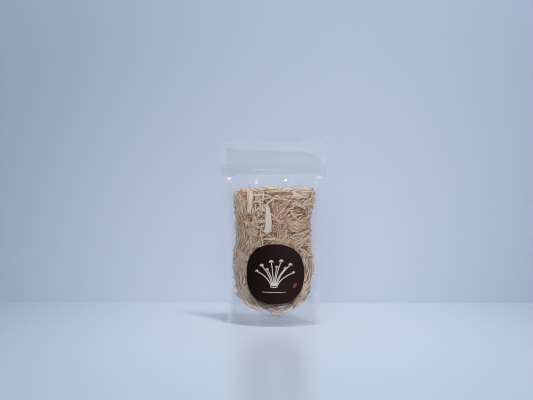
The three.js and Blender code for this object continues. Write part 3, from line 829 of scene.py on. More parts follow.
class Stems:
    """Lines of stems, with values at each point that the tree and the material read."""

    VALUES = ("thickness", "shade", "brown", "twist", "along", "out")

    def __init__(self, seed):
        self.rng = np.random.default_rng(seed)
        self.lines = []
        self.values = {key: [] for key in self.VALUES}

    def add(self, path, out, width, shade, joined=1, fan=None):
        """One stem along a path, or several joined side by side that spread like a fan."""
        rng = self.rng
        steps = np.gradient(path, axis=0)
        along = steps / np.linalg.norm(steps, axis=1, keepdims=True)
        aside = np.cross(along, out)
        aside /= np.maximum(np.linalg.norm(aside, axis=1, keepdims=True), 1e-6)
        t = np.linspace(0, 1, len(path))
        spread = 1 + ((rng.uniform(0.6, 1.3) if fan is None else fan) - 1) * t
        for k in range(joined):
            line = path + aside * ((k - (joined - 1) / 2) * width * JOINT_OVERLAP * spread)[:, None]
            line = line + out * rng.uniform(-0.2, 0.2)
            if joined > 1:
                line[0] += (line[1] - line[0]) * rng.uniform(-0.3, 0.5)
                line[-1] += (line[-2] - line[-1]) * rng.uniform(-0.3, 0.5)
            swell = 1 + 0.13 * np.sin(t * rng.uniform(5, 14) + rng.uniform(0, 6))
            thickness = width / 2 * (1 - 0.22 * t) * swell
            thickness[[0, -1]] *= rng.uniform(0.7, 1.05, 2)
            end = rng.random()
            brown = t**5 if end < 0.3 else (1 - t) ** 6 if end < 0.45 else 0 * t
            length = np.cumsum(np.linalg.norm(steps, axis=1))
            self.lines.append(line)
            self.values["thickness"].append(thickness * MM)
            self.values["shade"].append(np.full(len(t), np.clip(shade + rng.normal(0, 0.1), 0, 1)))
            self.values["brown"].append(brown * rng.uniform(0.3, 0.9))
            self.values["twist"].append((rng.uniform(-0.5, 0.5) + t * rng.uniform(-1.2, 1.2)) / joined)
            self.values["along"].append((length + rng.uniform(0, 400)) * MM)
            self.values["out"].append(out)

    def line_mesh(self, name):
        """The lines and their values as a mesh of loose edges."""
        ends = np.cumsum([0] + [len(line) for line in self.lines])
        edges = [(i, i + 1) for a, b in zip(ends[:-1], ends[1:]) for i in range(a, b - 1)]
        mesh = bpy.data.meshes.new(name)
        mesh.from_pydata(np.concatenate(self.lines) * MM, edges, [])
        for key, parts in self.values.items():
            set_values(mesh, key, np.concatenate(parts))
        piece = bpy.data.objects.new(name, mesh)
        scene.collection.objects.link(piece)
        return piece


# %% [markdown]
# The stems are laid in layers, the deep ones first. Their shades are painted shade and light: the deep ones
# are darkest, and near the film they are paler, because those lie flat and catch the light. Where a slab lies
# on the film they pass under it, and towards the pile's ragged outline they thin out.

# %% Drifts and layers
DRIFTS = [  # side, x, z, reach, direction in degrees, and share of stems that follow it
    (-1, -38, 108, 15, 84, 0.9),
    (-1, 34, 147, 17, 4, 0.85),
    (-1, 32, 112, 15, 20, 0.85),
    (-1, -8, 90, 12, 15, 0.6),
    (-1, -38, 60, 16, 100, 0.6),
    (-1, 38, 56, 14, 75, 0.65),
    (-1, -22, 146, 14, 86, 0.5),
    (-1, -2, 148, 14, 8, 0.7),
    (-1, 14, 128, 12, 35, 0.5),
    (1, 20, 120, 18, 70, 0.7),
    (1, -22, 90, 18, -20, 0.7),
    (1, 10, 50, 16, 30, 0.7),
    (1, -25, 140, 16, 10, 0.6),
]
JOINED_SHARES = [0.85, 0.10, 0.03, 0.02]  # of single stems, pairs, threes and fours
LAYERS = [  # piece, count, depths, lengths, spread of depth along a stem, and shade, darker for deeper layers as painted shade
    ("deep", 460, (5.5, 9.0), (14, 32), 2.5, 0.24),
    ("deep", 480, (3.6, 6.4), (12, 30), 2.5, 0.48),
    ("near", 390, (2.0, 4.2), (10, 28), 2.0, 0.66),
    ("near", 200, (1.2, 2.4), (10, 28), 0.8, 0.80),
]
LOW_END = 26.0  # below it the pile is only a thin wedge over the arched base
EDGE_ZONE = 5.0  # near its sides the pile is looser
BESIDE_LABEL = (35, 100)  # heights between which it is looser still
UNDER_SLAB = 2.2  # how much deeper stems lie where a slab covers them
print(len(DRIFTS), "drifts and", sum(layer[1] for layer in LAYERS), "stems or bundles on each side")


# %% Scatter a layer
def scatter(stems, side, count, depths, lengths, tilt, tone):
    rng = stems.rng
    t = np.linspace(0, 1, STEM_POINTS)
    for _ in range(count):
        z = 12 + (FILL_TOP - 14) * rng.random() ** 0.92  # a few more of them low down
        left, right = pile_edges(z)
        x = rng.uniform(left, right)
        if z < LOW_END and rng.random() < 0.75:
            z += 20  # out of the thin wedge
        thinned = 0.6 if BESIDE_LABEL[0] < z < BESIDE_LABEL[1] else 0.35
        if min(x - left, right - x) < EDGE_ZONE and rng.random() < thinned:
            x *= 0.85  # away from the side
        heading = rng.uniform(0, 2 * np.pi)
        for drift_side, dx, dz, reach, degrees, share in DRIFTS:
            near = math.exp(-((x - dx) ** 2 + (z - dz) ** 2) / reach**2)
            if drift_side == side and rng.random() < near * share:
                heading = math.radians(degrees + rng.normal(0, 16)) + np.pi * (rng.random() < 0.5)
        if z < LOW_END + 8:  # there the stems lie along the seal
            slope = seal_at(x + 1) - seal_at(x - 1)
            heading = math.atan2(slope, 2) + rng.normal(0, 0.25) + np.pi * (rng.random() < 0.5)
        short = rng.random() < 0.25  # a quarter are broken bits
        length = lengths[0] * rng.uniform(0.4, 1.0) if short else rng.uniform(*lengths)
        joined = 1 + rng.choice(len(JOINED_SHARES), p=JOINED_SHARES)  # the more, the straighter
        curve = length * rng.normal(0, 0.14) / joined * t * (1 - t) * 2
        aside = curve + 0.4 * np.sin(t * rng.uniform(3, 9) + rng.uniform(0, 6)) / joined
        middle = rng.uniform(*depths)
        depth = middle + (t - 0.5) * rng.normal(0, tilt) * 2 + 0.4 * np.sin(t * 7 + rng.uniform(0, 6))
        width = np.clip(rng.normal(1.32, 0.34), 0.7, 2.3)
        beyond = np.clip(rng.normal(0.3, 1.8), -3.0, 3.5)
        x, z = moved_inside(*turned(x, z, heading, length * (t - 0.5), aside), beyond)
        depth = depth + UNDER_SLAB * slab_cover(side, x, z) * (rng.random() > 0.08)
        path, out = in_pile(side, x, z, np.maximum(depth, width * 0.5))
        painted_edge_light = 0.42 * (1 - rise(0, 12, min(x[4] - left, right - x[4])))  # painted light: paler near the pile's sides, where more light reaches the stems
        stems.add(path, out, width, np.clip(tone + painted_edge_light + rng.normal(0, 0.22), 0, 1), joined)


# %% Lay the tangle
pile = {}
for side, word in ((-1, "front"), (1, "back")):
    for part, *layer in LAYERS:
        stems = pile.setdefault(f"stems_{word}_{part}", Stems(20 + len(pile)))
        scatter(stems, side, *layer)
print({name: len(stems.lines) for name, stems in pile.items()})

# %% [markdown]
# The top of the pile is open, so stems there lie across it and a few stick up. Others fill its narrow
# sides, where they lean this way and that. They need a way out of their own, up or sideways, because the
# film's slope says little there.

# %% Stems across the top
ACROSS_TOP, AT_SIDES = 130, 260
near_front = pile["stems_front_near"]
rng = near_front.rng
t = np.linspace(0, 1, STEM_POINTS)
for _ in range(ACROSS_TOP):
    x, heading, length = rng.uniform(-41, 42), rng.normal(0, 0.4), rng.uniform(12, 36)
    y = rng.uniform(-1, 1) * max(float(inner_depth(x, 152.0)) - 2.5, 1.0)
    px = np.clip(x + length * (t - 0.5) * math.cos(heading), -45, 46)
    limit = np.maximum(inner_depth(px, 154.0) - 1.8, 0.5)
    py = np.clip(y + length * (t - 0.5) * math.sin(heading), -limit, limit)
    pz = 144 + rng.uniform(0, 8.0) + (t - 0.5) * rng.normal(0, 4.5) + 0.6 * np.sin(t * 6 + rng.uniform(0, 6))
    over = over_top(px, pz) - np.clip(rng.normal(0, 1.3), -2, 2.5)
    path = np.stack([px, py, pz - max(over, 0)], -1)
    out = np.tile([0.0, 0.0, 1.0], (STEM_POINTS, 1))
    near_front.add(path, out, rng.uniform(1.0, 2.0), rng.uniform(0.3, 0.9))
print("with those across the top:", len(near_front.lines))

# %% Stems at the sides
for _ in range(AT_SIDES):
    z0, length, rising = rng.uniform(24, 146), rng.uniform(8, 20), rng.normal(0, 0.9)
    z = np.clip(z0 + length * (t - 0.5) * math.cos(rising), 20, 150)
    left, right = pile_edges(z)
    sign = rng.choice((-1, 1))
    inset = rng.uniform(1, 11) + length * (t - 0.5) * rng.normal(0, 0.5)
    inset = np.maximum(inset, rng.normal(0.5, 1.5))
    px = np.where(sign < 0, left, right) - sign * inset
    limit = np.maximum(inner_depth(px, z) * 0.8 - 1.8, 0.3)
    py = np.clip(rng.uniform(-1, 1) * limit[4] + length * (t - 0.5) * math.sin(rising), -limit, limit)
    path = np.stack([px, py, np.maximum(z, arch_height(px, py) + ABOVE_ARCH)], -1)
    out = np.tile([float(sign), 0.0, 0.0], (STEM_POINTS, 1))
    # their pale shades are painted light, for the light that reaches the pile's narrow sides
    near_front.add(path, out, rng.uniform(0.9, 1.5), rng.uniform(0.55, 1.0))
print("with those at the sides:", len(near_front.lines))

# %% [markdown]
# Bundles that lie flat on the film, and stems that stand alone against it, are placed one by one because
# the eye finds them. In a bundle each stem differs a little in direction, length and shade.

# %% Bundles on the film
COMBS = [  # x, z, direction in degrees, stems, distance between them, length, shade
    (-41, 145, 105, 4, 1.9, 14, 0.82),
    (42, 148, 70, 3, 2.0, 12, 0.80),
    (-38, 137, 112, 6, 1.9, 30, 0.66),
    (-40, 119, 115, 4, 2.0, 20, 0.62),
    (-31, 109, 80, 6, 1.7, 24, 0.62),
    (-24, 95, 85, 3, 2.2, 16, 0.70),
    (-18.5, 118, 83, 4, 1.9, 17, 0.85),
    (5, 111, 72, 5, 2.0, 26, 0.78),
    (12, 103, 55, 4, 2.0, 14, 0.72),
    (10, 128, 52, 5, 2.4, 20, 0.68),
    (30, 137, -30, 4, 2.2, 16, 0.70),
    (38, 140, 55, 4, 2.0, 14, 0.65),
    (40, 123, 98, 3, 2.2, 18, 0.70),
    # from here on the bundles lie low at the pile's sides; their raised shades are painted light for the
    # sides
    (37, 97, 60, 5, 2.1, 17, 0.85),
    (29, 92, 40, 4, 2.1, 18, 0.62),
    (-30, 84, 50, 5, 2.0, 20, 0.66),
    (-41, 88, 78, 4, 2.0, 20, 0.88),
    (-40, 66, 62, 4, 2.2, 18, 0.88),
    (-38, 50, 100, 4, 2.2, 18, 0.90),
    (-34, 36, 125, 4, 2.0, 16, 0.86),
    (37, 82, 130, 4, 2.1, 16, 0.88),
    (39, 68, 97, 4, 2.2, 20, 0.90),
    (39, 52, 80, 4, 2.2, 20, 0.90),
    (35, 37, 65, 4, 2.0, 16, 0.86),
]
for x0, z0, degrees, count, apart, length, shade in COMBS:
    for k in range(count):
        heading = math.radians(degrees + rng.normal(0, 6))
        off, slide = (k - (count - 1) / 2) * apart, rng.normal(0, 2.5)
        reach = length * rng.uniform(0.6, 1.05) * (t - 0.5) + slide
        bend = off + rng.normal(0, 0.8) * np.sin(np.pi * t)
        x, z = moved_inside(*turned(x0, z0, heading, reach, bend), 1.5)
        depth = 0.7 + rng.uniform(0, 0.9) + 0.3 * np.sin(t * 6 + k) + UNDER_SLAB * slab_cover(-1, x, z)
        path, out = in_pile(-1, x, z, depth)
        width = rng.normal(1.25 if z0 > 95 else 1.6, 0.2)
        near_front.add(path, out, np.clip(width, 0.8, 2.0), shade + rng.normal(0, 0.14))
print("with the bundles:", len(near_front.lines))

# %% Single stems on the film
PLACED = [  # from x, z to x, z, bend, width, shade, how many are joined, and how much they fan out
    (-23, 151.5, 4, 154.5, 0.6, 1.7, 0.88, 3, 0.9),
    (2, 154.5, 28, 149, -0.6, 1.6, 0.90, 3, 1.0),
    (24, 152, 46, 151.5, -0.6, 1.7, 0.85, 3, 1.3),
    (-8, 149, 14, 150.5, 0.5, 1.4, 0.78, 2, 1.0),
    (0, 141.6, 22.6, 138.5, 0.8, 1.5, 0.92, 1, 1.0),
    (22, 137.5, 36.8, 130.3, 0.4, 1.7, 0.90, 2, 1.0),
    (24.6, 147, 8.3, 126, 0.6, 1.3, 0.80, 1, 1.0),
    (-11, 133.4, -12.6, 123, 0.2, 1.8, 0.95, 1, 1.0),
    (-21.5, 138, -10.5, 137, 0.2, 1.7, 0.90, 1, 1.0),
    (-24.3, 125, -13, 132.4, -0.3, 1.6, 0.85, 1, 1.0),
    (20.5, 126.2, 25.6, 119.5, 0.3, 1.7, 1.00, 2, 1.0),
    (2, 145.5, 8, 142, 0.2, 1.8, 1.00, 1, 1.0),
    (-9, 97, 12, 94.5, 0.8, 1.5, 0.80, 2, 1.0),
    (-27, 108, -24, 92, 0.6, 1.5, 0.85, 1, 1.0),
    (-45, 73, -35, 69, 0.4, 1.8, 0.70, 3, 1.1),
    (-47.5, 157, -45.5, 139, 1.5, 1.0, 0.60, 1, 1.0),
    (24, 156.5, 35, 158, 0.4, 0.8, 0.50, 1, 1.0),
    (-27, 37, -12, 13, 2.0, 1.6, 0.92, 1, 1.0),
    # the stems low down under the label have dark shades: painted shade for the shadow under the label
    (-4, 17, 9, 15, 0.6, 1.6, 0.38, 1, 1.0),
    (-10, 20, 0, 15.5, 0.6, 1.5, 0.34, 1, 1.0),
    (-6, 22, 8, 20, 0.5, 1.5, 0.30, 1, 1.0),
    (1, 20.5, 15, 18, -0.4, 1.4, 0.42, 1, 1.0),
    (-1, 14, 10, 12, 0.4, 1.3, 0.35, 1, 1.0),
    (3, 18.5, 14, 14.5, 0.3, 1.4, 0.50, 1, 1.0),
    (10, 17, 21, 22, -0.4, 1.4, 0.38, 1, 1.0),
    (-16, 24, -6, 19, 0.4, 1.4, 0.40, 1, 1.0),
    (8, 16, 20, 24, -0.6, 1.5, 0.60, 1, 1.0),
    (24, 24, 30, 38, -0.6, 1.5, 0.75, 2, 1.0),
]
for x0, z0, x1, z1, bend, width, shade, joined, fan in PLACED:
    arc = bend * np.sin(np.pi * t)
    turn = math.atan2(z1 - z0, x1 - x0)
    path, out = in_pile(
        -1,
        x0 + (x1 - x0) * t - arc * math.sin(turn),
        z0 + (z1 - z0) * t + arc * math.cos(turn),
        np.full(STEM_POINTS, 0.9),
    )
    near_front.add(path, out, width, shade, joined, fan)
print("with the single ones:", len(near_front.lines), "and in all", sum(len(p.lines) for p in pile.values()))

# %% [markdown]
# One Geometry Nodes tree makes every line a stem. It turns the lines into curves, sweeps a flattened ring
# along them at each point's own thickness and twist, and closes the ends. The ring keeps its round
# positions as a value, so the material knows the place around the stem.

# %% Geometry Nodes tree for stems
def stems_tree():
    tree = bpy.data.node_groups.new("stems along lines", "GeometryNodeTree")
    face = tree.interface
    face.new_socket("Geometry", in_out="INPUT", socket_type="NodeSocketGeometry")
    sides = face.new_socket("Sides", in_out="INPUT", socket_type="NodeSocketInt")
    flatness = face.new_socket("Flatness", in_out="INPUT", socket_type="NodeSocketFloat")
    finish = face.new_socket("Finish", in_out="INPUT", socket_type="NodeSocketMaterial")
    face.new_socket("Geometry", in_out="OUTPUT", socket_type="NodeSocketGeometry")
    g = Graph(tree)
    given = g.add("NodeGroupInput").outputs
    named = "GeometryNodeInputNamedAttribute"
    value = lambda name: g.add(named, {"Name": name}, data_type="FLOAT").outputs[0]
    line = g.add("GeometryNodeMeshToCurve", {"Mesh": given["Geometry"]}).outputs[0]
    way_out = g.add(named, {"Name": "out"}, data_type="FLOAT_VECTOR").outputs[0]
    line = g.add("GeometryNodeSetCurveNormal", {"Curve": line, "Normal": way_out}, mode="FREE").outputs[0]
    line = g.add("GeometryNodeSetCurveTilt", {"Curve": line, "Tilt": value("twist")}).outputs[0]
    ring = g.add("GeometryNodeCurvePrimitiveCircle", {"Resolution": given["Sides"], "Radius": 1.0}).outputs[0]
    around = g.add("GeometryNodeInputPosition").outputs[0]
    ring = g.add(
        "GeometryNodeStoreNamedAttribute",
        {"Geometry": ring, "Name": "ring", "Value": around},
        data_type="FLOAT_VECTOR",
    ).outputs[0]
    squash = g.add("ShaderNodeCombineXYZ", {"X": 1.0, "Y": given["Flatness"], "Z": 1.0}).outputs[0]
    ring = g.add("GeometryNodeTransform", {"Geometry": ring, "Scale": squash}).outputs[0]
    swept = g.add(
        "GeometryNodeCurveToMesh",
        {"Curve": line, "Profile Curve": ring, "Scale": value("thickness"), "Fill Caps": True},
    ).outputs[0]
    smooth = g.add("GeometryNodeSetShadeSmooth", {"Geometry": swept}).outputs[0]
    real = g.add("GeometryNodeRealizeInstances", {"Geometry": smooth}).outputs[0]
    done = g.add("GeometryNodeSetMaterial", {"Geometry": real, "Material": given["Finish"]}).outputs[0]
    g.add("NodeGroupOutput", {"Geometry": done})
    return tree, {"sides": sides.identifier, "flatness": flatness.identifier, "finish": finish.identifier}


# %% Turn a tree's result into a plain mesh
def baked(piece, tree, values):
    """Runs a Geometry Nodes tree on a piece and leaves the result as its plain mesh."""
    modifier = piece.modifiers.new("shape", "NODES")
    modifier.node_group = tree
    for identifier, value in values.items():
        modifier[identifier] = value
    evaluated = piece.evaluated_get(bpy.context.evaluated_depsgraph_get())
    mesh = bpy.data.meshes.new_from_object(evaluated)
    piece.modifiers.clear()
    lines, piece.data = piece.data, mesh
    bpy.data.meshes.remove(lines)
    return piece


# %% [markdown]
# ## The finish of dried mushroom
#
# Dried enoki is matt and fibrous. Stems range from pale cream to tan, some go brown towards a cut end,
# and fine wrinkles run along them. The shade, the browning and the place along and around the stem are
# stored with the mesh, so the material mixes its colours by them and stretches its noise along the fibres.
# The group below holds that effect once; stems, slabs and the core use it with their own colours.

# %% Dry fibres, a shader group
FIBRES_PER_MM = 0.35  # along a stem: wrinkles are a few millimetres long and a third as wide


def fibre_group():
    """A shader group that colours dried flesh with long fine fibres and gives the relief for them."""
    tree = bpy.data.node_groups.new("dry fibres", "ShaderNodeTree")
    face = tree.interface
    face.new_socket("Shade", in_out="INPUT", socket_type="NodeSocketFloat")
    face.new_socket("Brown", in_out="INPUT", socket_type="NodeSocketFloat")
    face.new_socket("Along", in_out="INPUT", socket_type="NodeSocketFloat")
    face.new_socket("Around", in_out="INPUT", socket_type="NodeSocketVector")
    for name in ("Deep", "Tan", "Pale", "Cut"):
        face.new_socket(name, in_out="INPUT", socket_type="NodeSocketColor")
    face.new_socket("Color", in_out="OUTPUT", socket_type="NodeSocketColor")
    face.new_socket("Height", in_out="OUTPUT", socket_type="NodeSocketFloat")
    g = Graph(tree)
    given = g.add("NodeGroupInput").outputs
    place = g.add("ShaderNodeTexCoord").outputs["Object"]
    run = g.math("MULTIPLY", given["Along"], FIBRES_PER_MM / MM)
    lengthwise = g.add("ShaderNodeCombineXYZ", {"Z": run}).outputs[0]
    strand = g.add("ShaderNodeVectorMath", {0: given["Around"], 1: lengthwise}, operation="ADD").outputs[0]
    fibre = g.add("ShaderNodeTexNoise", {"Vector": strand, "Scale": 2.6, "Detail": 3.0}).outputs[0]
    broad = g.add("ShaderNodeTexNoise", {"Vector": place, "Scale": 160.0, "Detail": 2.0}).outputs[0]
    shade = g.math("ADD", given["Shade"], g.span(broad, 0.3, 0.7, -0.12, 0.12))
    shade = g.math("ADD", shade, g.span(fibre, 0.3, 0.7, -0.16, 0.16))
    # darker along both edges of a stem: partly a browner rim, partly painted shade where stems meet
    across = g.math("ABSOLUTE", g.add("ShaderNodeSeparateXYZ", {"Vector": given["Around"]}).outputs["X"])
    shade = g.math("SUBTRACT", shade, g.span(across, 0.55, 1.0, 0.0, 0.18))
    low = g.mix(g.span(shade, 0.0, 0.5), given["Deep"], given["Tan"])
    tone = g.mix(g.span(shade, 0.5, 1.0), low, given["Pale"])
    brown = g.math("MULTIPLY", given["Brown"], g.span(fibre, 0.3, 0.6, 0.5, 1.0), clamp=True)
    g.add("NodeGroupOutput", {"Color": g.mix(brown, tone, given["Cut"]), "Height": fibre})
    return tree


dry_fibres = fibre_group()
print(dry_fibres.name, "has", len(dry_fibres.nodes), "nodes")


# %% Dried mushroom
def dried(name, deep, tan, pale, cut):
    material = new_material(name)
    g = Graph(material.node_tree)
    value = lambda key: g.add("ShaderNodeAttribute", attribute_name=key).outputs
    fibres = g.add("ShaderNodeGroup", node_tree=dry_fibres)
    for key, color in (("Deep", deep), ("Tan", tan), ("Pale", pale), ("Cut", cut)):
        fibres.inputs[key].default_value = (*color, 1)
    for key in ("Shade", "Brown", "Along"):
        g.tree.links.new(value(key.lower())["Fac"], fibres.inputs[key])
    g.tree.links.new(value("ring")["Vector"], fibres.inputs["Around"])
    bump = g.add("ShaderNodeBump", {"Strength": 0.45, "Distance": 0.0003, "Height": fibres.outputs["Height"]})
    flesh = g.add(
        "ShaderNodeBsdfPrincipled",
        {
            "Base Color": fibres.outputs["Color"],
            "Roughness": 0.7,
            "Specular IOR Level": 0.1,
            "Normal": bump.outputs[0],
        },
    )
    g.add("ShaderNodeOutputMaterial", {"Surface": flesh.outputs[0]})
    return material


DEEP, TAN, PALE, CUT = (0.47, 0.205, 0.07), (0.68, 0.472, 0.305), (0.61, 0.542, 0.462), (0.24, 0.11, 0.05)
stem_finish = dried("dried stems", DEEP, TAN, PALE, CUT)

# %% Sweep the stems
tree, sockets = stems_tree()
for name, stems in pile.items():
    piece = stems.line_mesh(name)
    values = {sockets["sides"]: 6, sockets["flatness"]: 0.8, sockets["finish"]: stem_finish}
    baked(piece, tree, values)
    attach(piece, "root")
    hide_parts("enoki_pile")
    print(name, sum(len(p.vertices) - 2 for p in piece.data.polygons), "triangles")

# %% [markdown]
# ## Core of the pile
#
# Nobody sees the middle of the pile, only darkness between the stems. One lumpy closed form there keeps
# light from shining through where there are many stems, and leaves the thin edges of the pile open.

# %% Core
CORE_DEPTH, CORE_INSET = 8.5, 9.0  # below the film, and in from the pile's sides


def core_half(side):
    s = np.linspace(-0.97, 0.97, 41)[None]
    edge_at = lambda z: np.where(s < 0, -pile_edges(z)[0], pile_edges(z)[1]) - CORE_INSET
    low_x = s * edge_at(ARCH_LEVEL)
    reach = np.maximum(inner_depth(low_x, seal_at(low_x)) - CORE_DEPTH - 1, 1.0)
    rows = []
    for t in np.linspace(0.03, 1, 10):
        y = side * t * reach
        rows.append(np.stack([low_x, y, arch_height(low_x, y) + 2.0], -1)[0])
    low = rows[-1][:, 2][None]
    for t in np.linspace(0, 1, 45)[1:]:
        z = low + (FILL_TOP - 5 - low) * t
        x = s * edge_at(z)
        lump = 0.7 * np.sin(x * 0.55 + z * 0.3) * np.sin(z * 0.5 - x * 0.2)
        rows.append(np.stack([x, side * np.maximum(inner_depth(x, z) - CORE_DEPTH + lump, 0.6), z], -1)[0])
    return np.array(rows)


core = sheet_between("pile_core", core_half(-1), core_half(1), shade=0.3)
# darker colours than the loose stems: painted shade for the depths of the pile
core_shade_finish = dried("packed stems", (0.30, 0.11, 0.03), (0.40, 0.19, 0.07), (0.46, 0.25, 0.11), CUT)
core.data.materials.append(core_shade_finish)
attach(core, "root")
print("core", len(core.data.polygons), "faces")

# %% [markdown]
# ## Slabs of joined stems
#
# Enoki grow from one foot, so pieces cut near it hold several stems side by side. They are the broadest
# things in the pile, some nearly white and some tan. Each is a thin closed plate whose upper face rises
# and falls once for each stem, spreads like a fan, and is cut unevenly at both ends.

# %% Slabs
SLAB_THICKNESS, STEM_IN_SLAB = 1.5, 1.5  # the second is the width of one ridge
SLAB_POINTS = 30  # along a slab
SLAB_DEEP, SLAB_TAN, SLAB_PALE = (0.28, 0.15, 0.07), (0.53, 0.39, 0.265), (0.62, 0.575, 0.515)
slab_finish = dried("joined stems", SLAB_DEEP, SLAB_TAN, SLAB_PALE, CUT)

for index, (node, side, x0, z0, long, start, end, degrees, shade) in enumerate(SLABS):
    rng = np.random.default_rng(40 + index)
    ridges = max(3, round((start + end) / 2 / STEM_IN_SLAB))
    u, v = np.meshgrid(np.linspace(-1, 1, ridges * 6 + 1), np.linspace(-1, 1, SLAB_POINTS))
    which = np.clip(((u + 1) / 2 * ridges).astype(int), 0, ridges - 1)
    ragged = rng.uniform(0, 2.6, (2, ridges))
    half = (start + (end - start) * (v + 1) / 2) / 2
    reach = long / 2 - np.where(v > 0, ragged[1][which], ragged[0][which]) * np.abs(v) ** 3
    along = v * reach
    aside = u * half * (1 + 0.05 * np.sin(v * 4 + index)) + 1.2 * v * v + 0.25 * np.sin(v * 7 + which * 2.1)
    x, z = turned(x0, z0, math.radians(degrees), along, aside)
    over = ((u + 1) / 2 * ridges - which) * 2 - 1
    ridge = np.abs(np.cos(np.pi / 2 * over)) ** 0.6
    ridge = ridge * (0.45 + 0.12 * np.sin(v * 9 + which * 1.7)) + 0.1
    top, _ = in_pile(side, x, z, 0.75 - ridge)
    bottom, _ = in_pile(side, x, z, 0.35 + SLAB_THICKNESS - 0.2 * ridge)
    # darker down in the grooves between the ridges: painted shade; each stem also differs a little at random
    tone = shade - 0.22 * (1 - ridge / 0.55) + rng.uniform(-0.1, 0.1, ridges)[which]
    brown = 0.5 * np.clip((np.abs(v) - 0.8) / 0.2, 0, 1) ** 2 * (v * (1 if index % 2 else -1) > 0)
    piece = sheet_between(
        node.replace("slab", "joined"),
        bottom,
        top,
        shade=np.clip(tone, 0, 1),
        brown=brown,
        along=(along + 50 * which) * MM,
        ring=np.stack([over, np.sqrt(np.maximum(1 - over**2, 0)), 0 * over], -1),
    )
    piece.data.materials.append(slab_finish)
    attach(piece, "root")
    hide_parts(node)
    print(piece.name, ridges, "ridges,", len(piece.data.polygons), "faces")

# %% [markdown]
# ## Table, wall, light and camera
#
# The pouch stands on a pale satin table a hand's span before a pale wall. Both are plain paint with a painted
# pool of light: brightest near the pouch and darker away from it. Neither can be seen from behind. A small
# light above and to the right gives the film its sparks and the stems their crisp shadows. A broad one in
# front softens them, and is kept out of the film's reflections: clear film shows mostly by what it reflects,
# and that light would veil the pile. For the same reason the room is left darker at eye level than overhead.

# %% Camera
VIEW_TURN = math.radians(4.0)
VIEW_DISTANCE, VIEW_HEIGHT = 0.838, 0.140
FOCAL_PIXELS, IMAGE_WIDTH, SENSOR = 740.0, 533, 36.0
POUCH_OFF_CENTRE = 7.0  # pixels to the right

towards = Vector((math.sin(VIEW_TURN), -math.cos(VIEW_TURN), 0))
camera_data = bpy.data.cameras.new("camera")
camera_data.sensor_width = SENSOR
camera_data.lens = FOCAL_PIXELS / IMAGE_WIDTH * SENSOR
camera = bpy.data.objects.new("camera", camera_data)
scene.collection.objects.link(camera)
camera.location = towards * VIEW_DISTANCE + Vector((0, 0, VIEW_HEIGHT))
camera.rotation_euler = (math.pi / 2, 0, VIEW_TURN + math.atan(POUCH_OFF_CENTRE / FOCAL_PIXELS))
scene.camera = camera
print("lens", round(camera_data.lens, 1), "mm, camera at", [round(v, 3) for v in camera.location])


# %% Paint with a painted pool of light
def paint_with_light_pool(name, color, roughness, specular, centre, reach, painted_edge_light, lean=0.0):
    """Paint with a painted pool of light: brightest round one place, darker by the share painted_edge_light
    away.
    """
    material = new_material(name)
    g = Graph(material.node_tree)
    place = g.add("ShaderNodeTexCoord").outputs["Object"]
    local = g.add(
        "ShaderNodeMapping",
        {"Vector": place, "Location": centre, "Rotation": (0, lean, 0), "Scale": reach},
        vector_type="TEXTURE",
    ).outputs[0]
    far = g.add("ShaderNodeVectorMath", {0: local}, operation="LENGTH").outputs["Value"]
    fall = g.add("ShaderNodeMapRange", {"Value": far}, interpolation_type="SMOOTHSTEP").outputs[0]
    tone = g.mix(fall, (*color, 1), (*[c * e for c, e in zip(color, painted_edge_light)], 1))
    paint = g.add(
        "ShaderNodeBsdfPrincipled",
        {"Base Color": tone, "Roughness": roughness, "Specular IOR Level": specular},
    )
    behind = g.add("ShaderNodeNewGeometry").outputs["Backfacing"]
    clear = g.add("ShaderNodeBsdfTransparent")
    one_sided = g.add("ShaderNodeMixShader", {0: behind, 1: paint.outputs[0], 2: clear.outputs[0]})
    g.add("ShaderNodeOutputMaterial", {"Surface": one_sided.outputs[0]})
    return material


# %% Table and wall
def flat_stage(name, corners, material):
    piece = add_object(name, np.array(corners) / MM, [[0, 1, 2, 3]], smooth=False)
    piece.data.materials.append(material)
    return piece


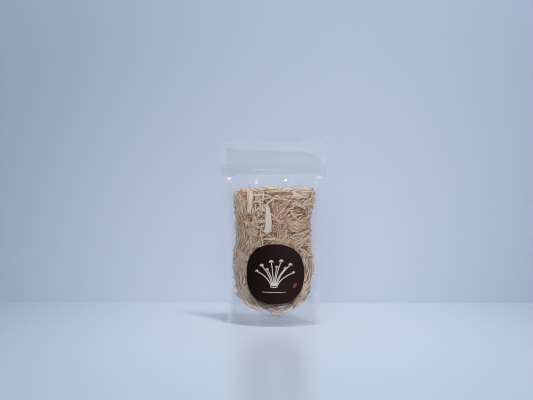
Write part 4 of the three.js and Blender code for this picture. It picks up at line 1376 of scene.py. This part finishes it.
WALL_BEHIND = 0.17
across = Vector((math.cos(VIEW_TURN), math.sin(VIEW_TURN), 0))
wall_foot = -towards * WALL_BEHIND
wide, deep = across * 1.6, towards * 2.0
up = Vector((0, 0, 1.7))
table_paint = paint_with_light_pool(
    "white table",
    color=(0.52, 0.565, 0.637),
    roughness=0.22,
    specular=0.4,
    centre=(0.01, 0.15, 0),
    reach=(0.67, 0.89, 1),
    painted_edge_light=(0.54, 0.6, 0.65),
)
wall_paint = paint_with_light_pool(
    "pale wall",
    color=(0.57, 0.626, 0.725),
    roughness=0.8,
    specular=0.2,
    centre=(-0.02, 0.17, -0.02),
    reach=(0.68, 1, 0.5),
    painted_edge_light=(0.56, 0.59, 0.64),
    lean=-0.3,
)
table = [wall_foot - wide, wall_foot - wide + deep, wall_foot + wide + deep, wall_foot + wide]
wall = [wall_foot - wide, wall_foot + wide, wall_foot + wide + up, wall_foot - wide + up]
flat_stage("table", table, table_paint)
flat_stage("wall", wall, wall_paint)
print("the wall stands", WALL_BEHIND, "m behind the pouch")


# %% Lights
def area_light(name, place, target, size, power, color=(1, 1, 1)):
    data = bpy.data.lights.new(name, "AREA")
    data.shape = "RECTANGLE"
    data.size, data.size_y = size
    data.energy = power
    data.color = color
    light = bpy.data.objects.new(name, data)
    scene.collection.objects.link(light)
    light.location = place
    light.rotation_euler = (Vector(place) - Vector(target)).to_track_quat("Z", "Y").to_euler()
    return light


area_light("key", (0.22, -0.36, 1.10), (0.0, 0.0, 0.09), (0.12, 0.12), 9.6, (1.0, 0.96, 0.92))
front = area_light("front", (-0.05, -1.35, 0.45), (0.0, 0.0, 0.08), (0.9, 0.6), 5.0, (1.0, 0.97, 0.93))
front.visible_glossy = False  # a soft light that is kept out of the film's reflections


# %% Room, and how colour and film are rendered
def room_light():
    """Bluish daylight from overhead in a dim room. The camera itself sees the room as one pale tone."""
    world = bpy.data.worlds.new("room")
    world.use_nodes = True
    world.node_tree.nodes.clear()
    g = Graph(world.node_tree)
    direction = g.add("ShaderNodeTexCoord").outputs["Generated"]
    up = g.add("ShaderNodeSeparateXYZ", {"Vector": direction}).outputs["Z"]
    tone = g.mix(g.span(up, 0.0, 0.9), (0.15, 0.165, 0.19, 1), (0.76, 0.85, 0.99, 1))
    room = g.add("ShaderNodeBackground", {"Color": tone, "Strength": 0.95})
    pale = g.add("ShaderNodeBackground", {"Color": (0.42, 0.47, 0.56, 1), "Strength": 1.0})
    seen = g.add("ShaderNodeLightPath").outputs["Is Camera Ray"]
    both = g.add("ShaderNodeMixShader", {0: seen, 1: room.outputs[0], 2: pale.outputs[0]})
    g.add("ShaderNodeOutputWorld", {"Surface": both.outputs[0]})
    return world


scene.world = room_light()
scene.view_settings.view_transform = "Standard"
scene.cycles.filter_width = 0.9
scene.cycles.transparent_max_bounces = 48
scene.cycles.max_bounces = 10
print("world:", scene.world.name)
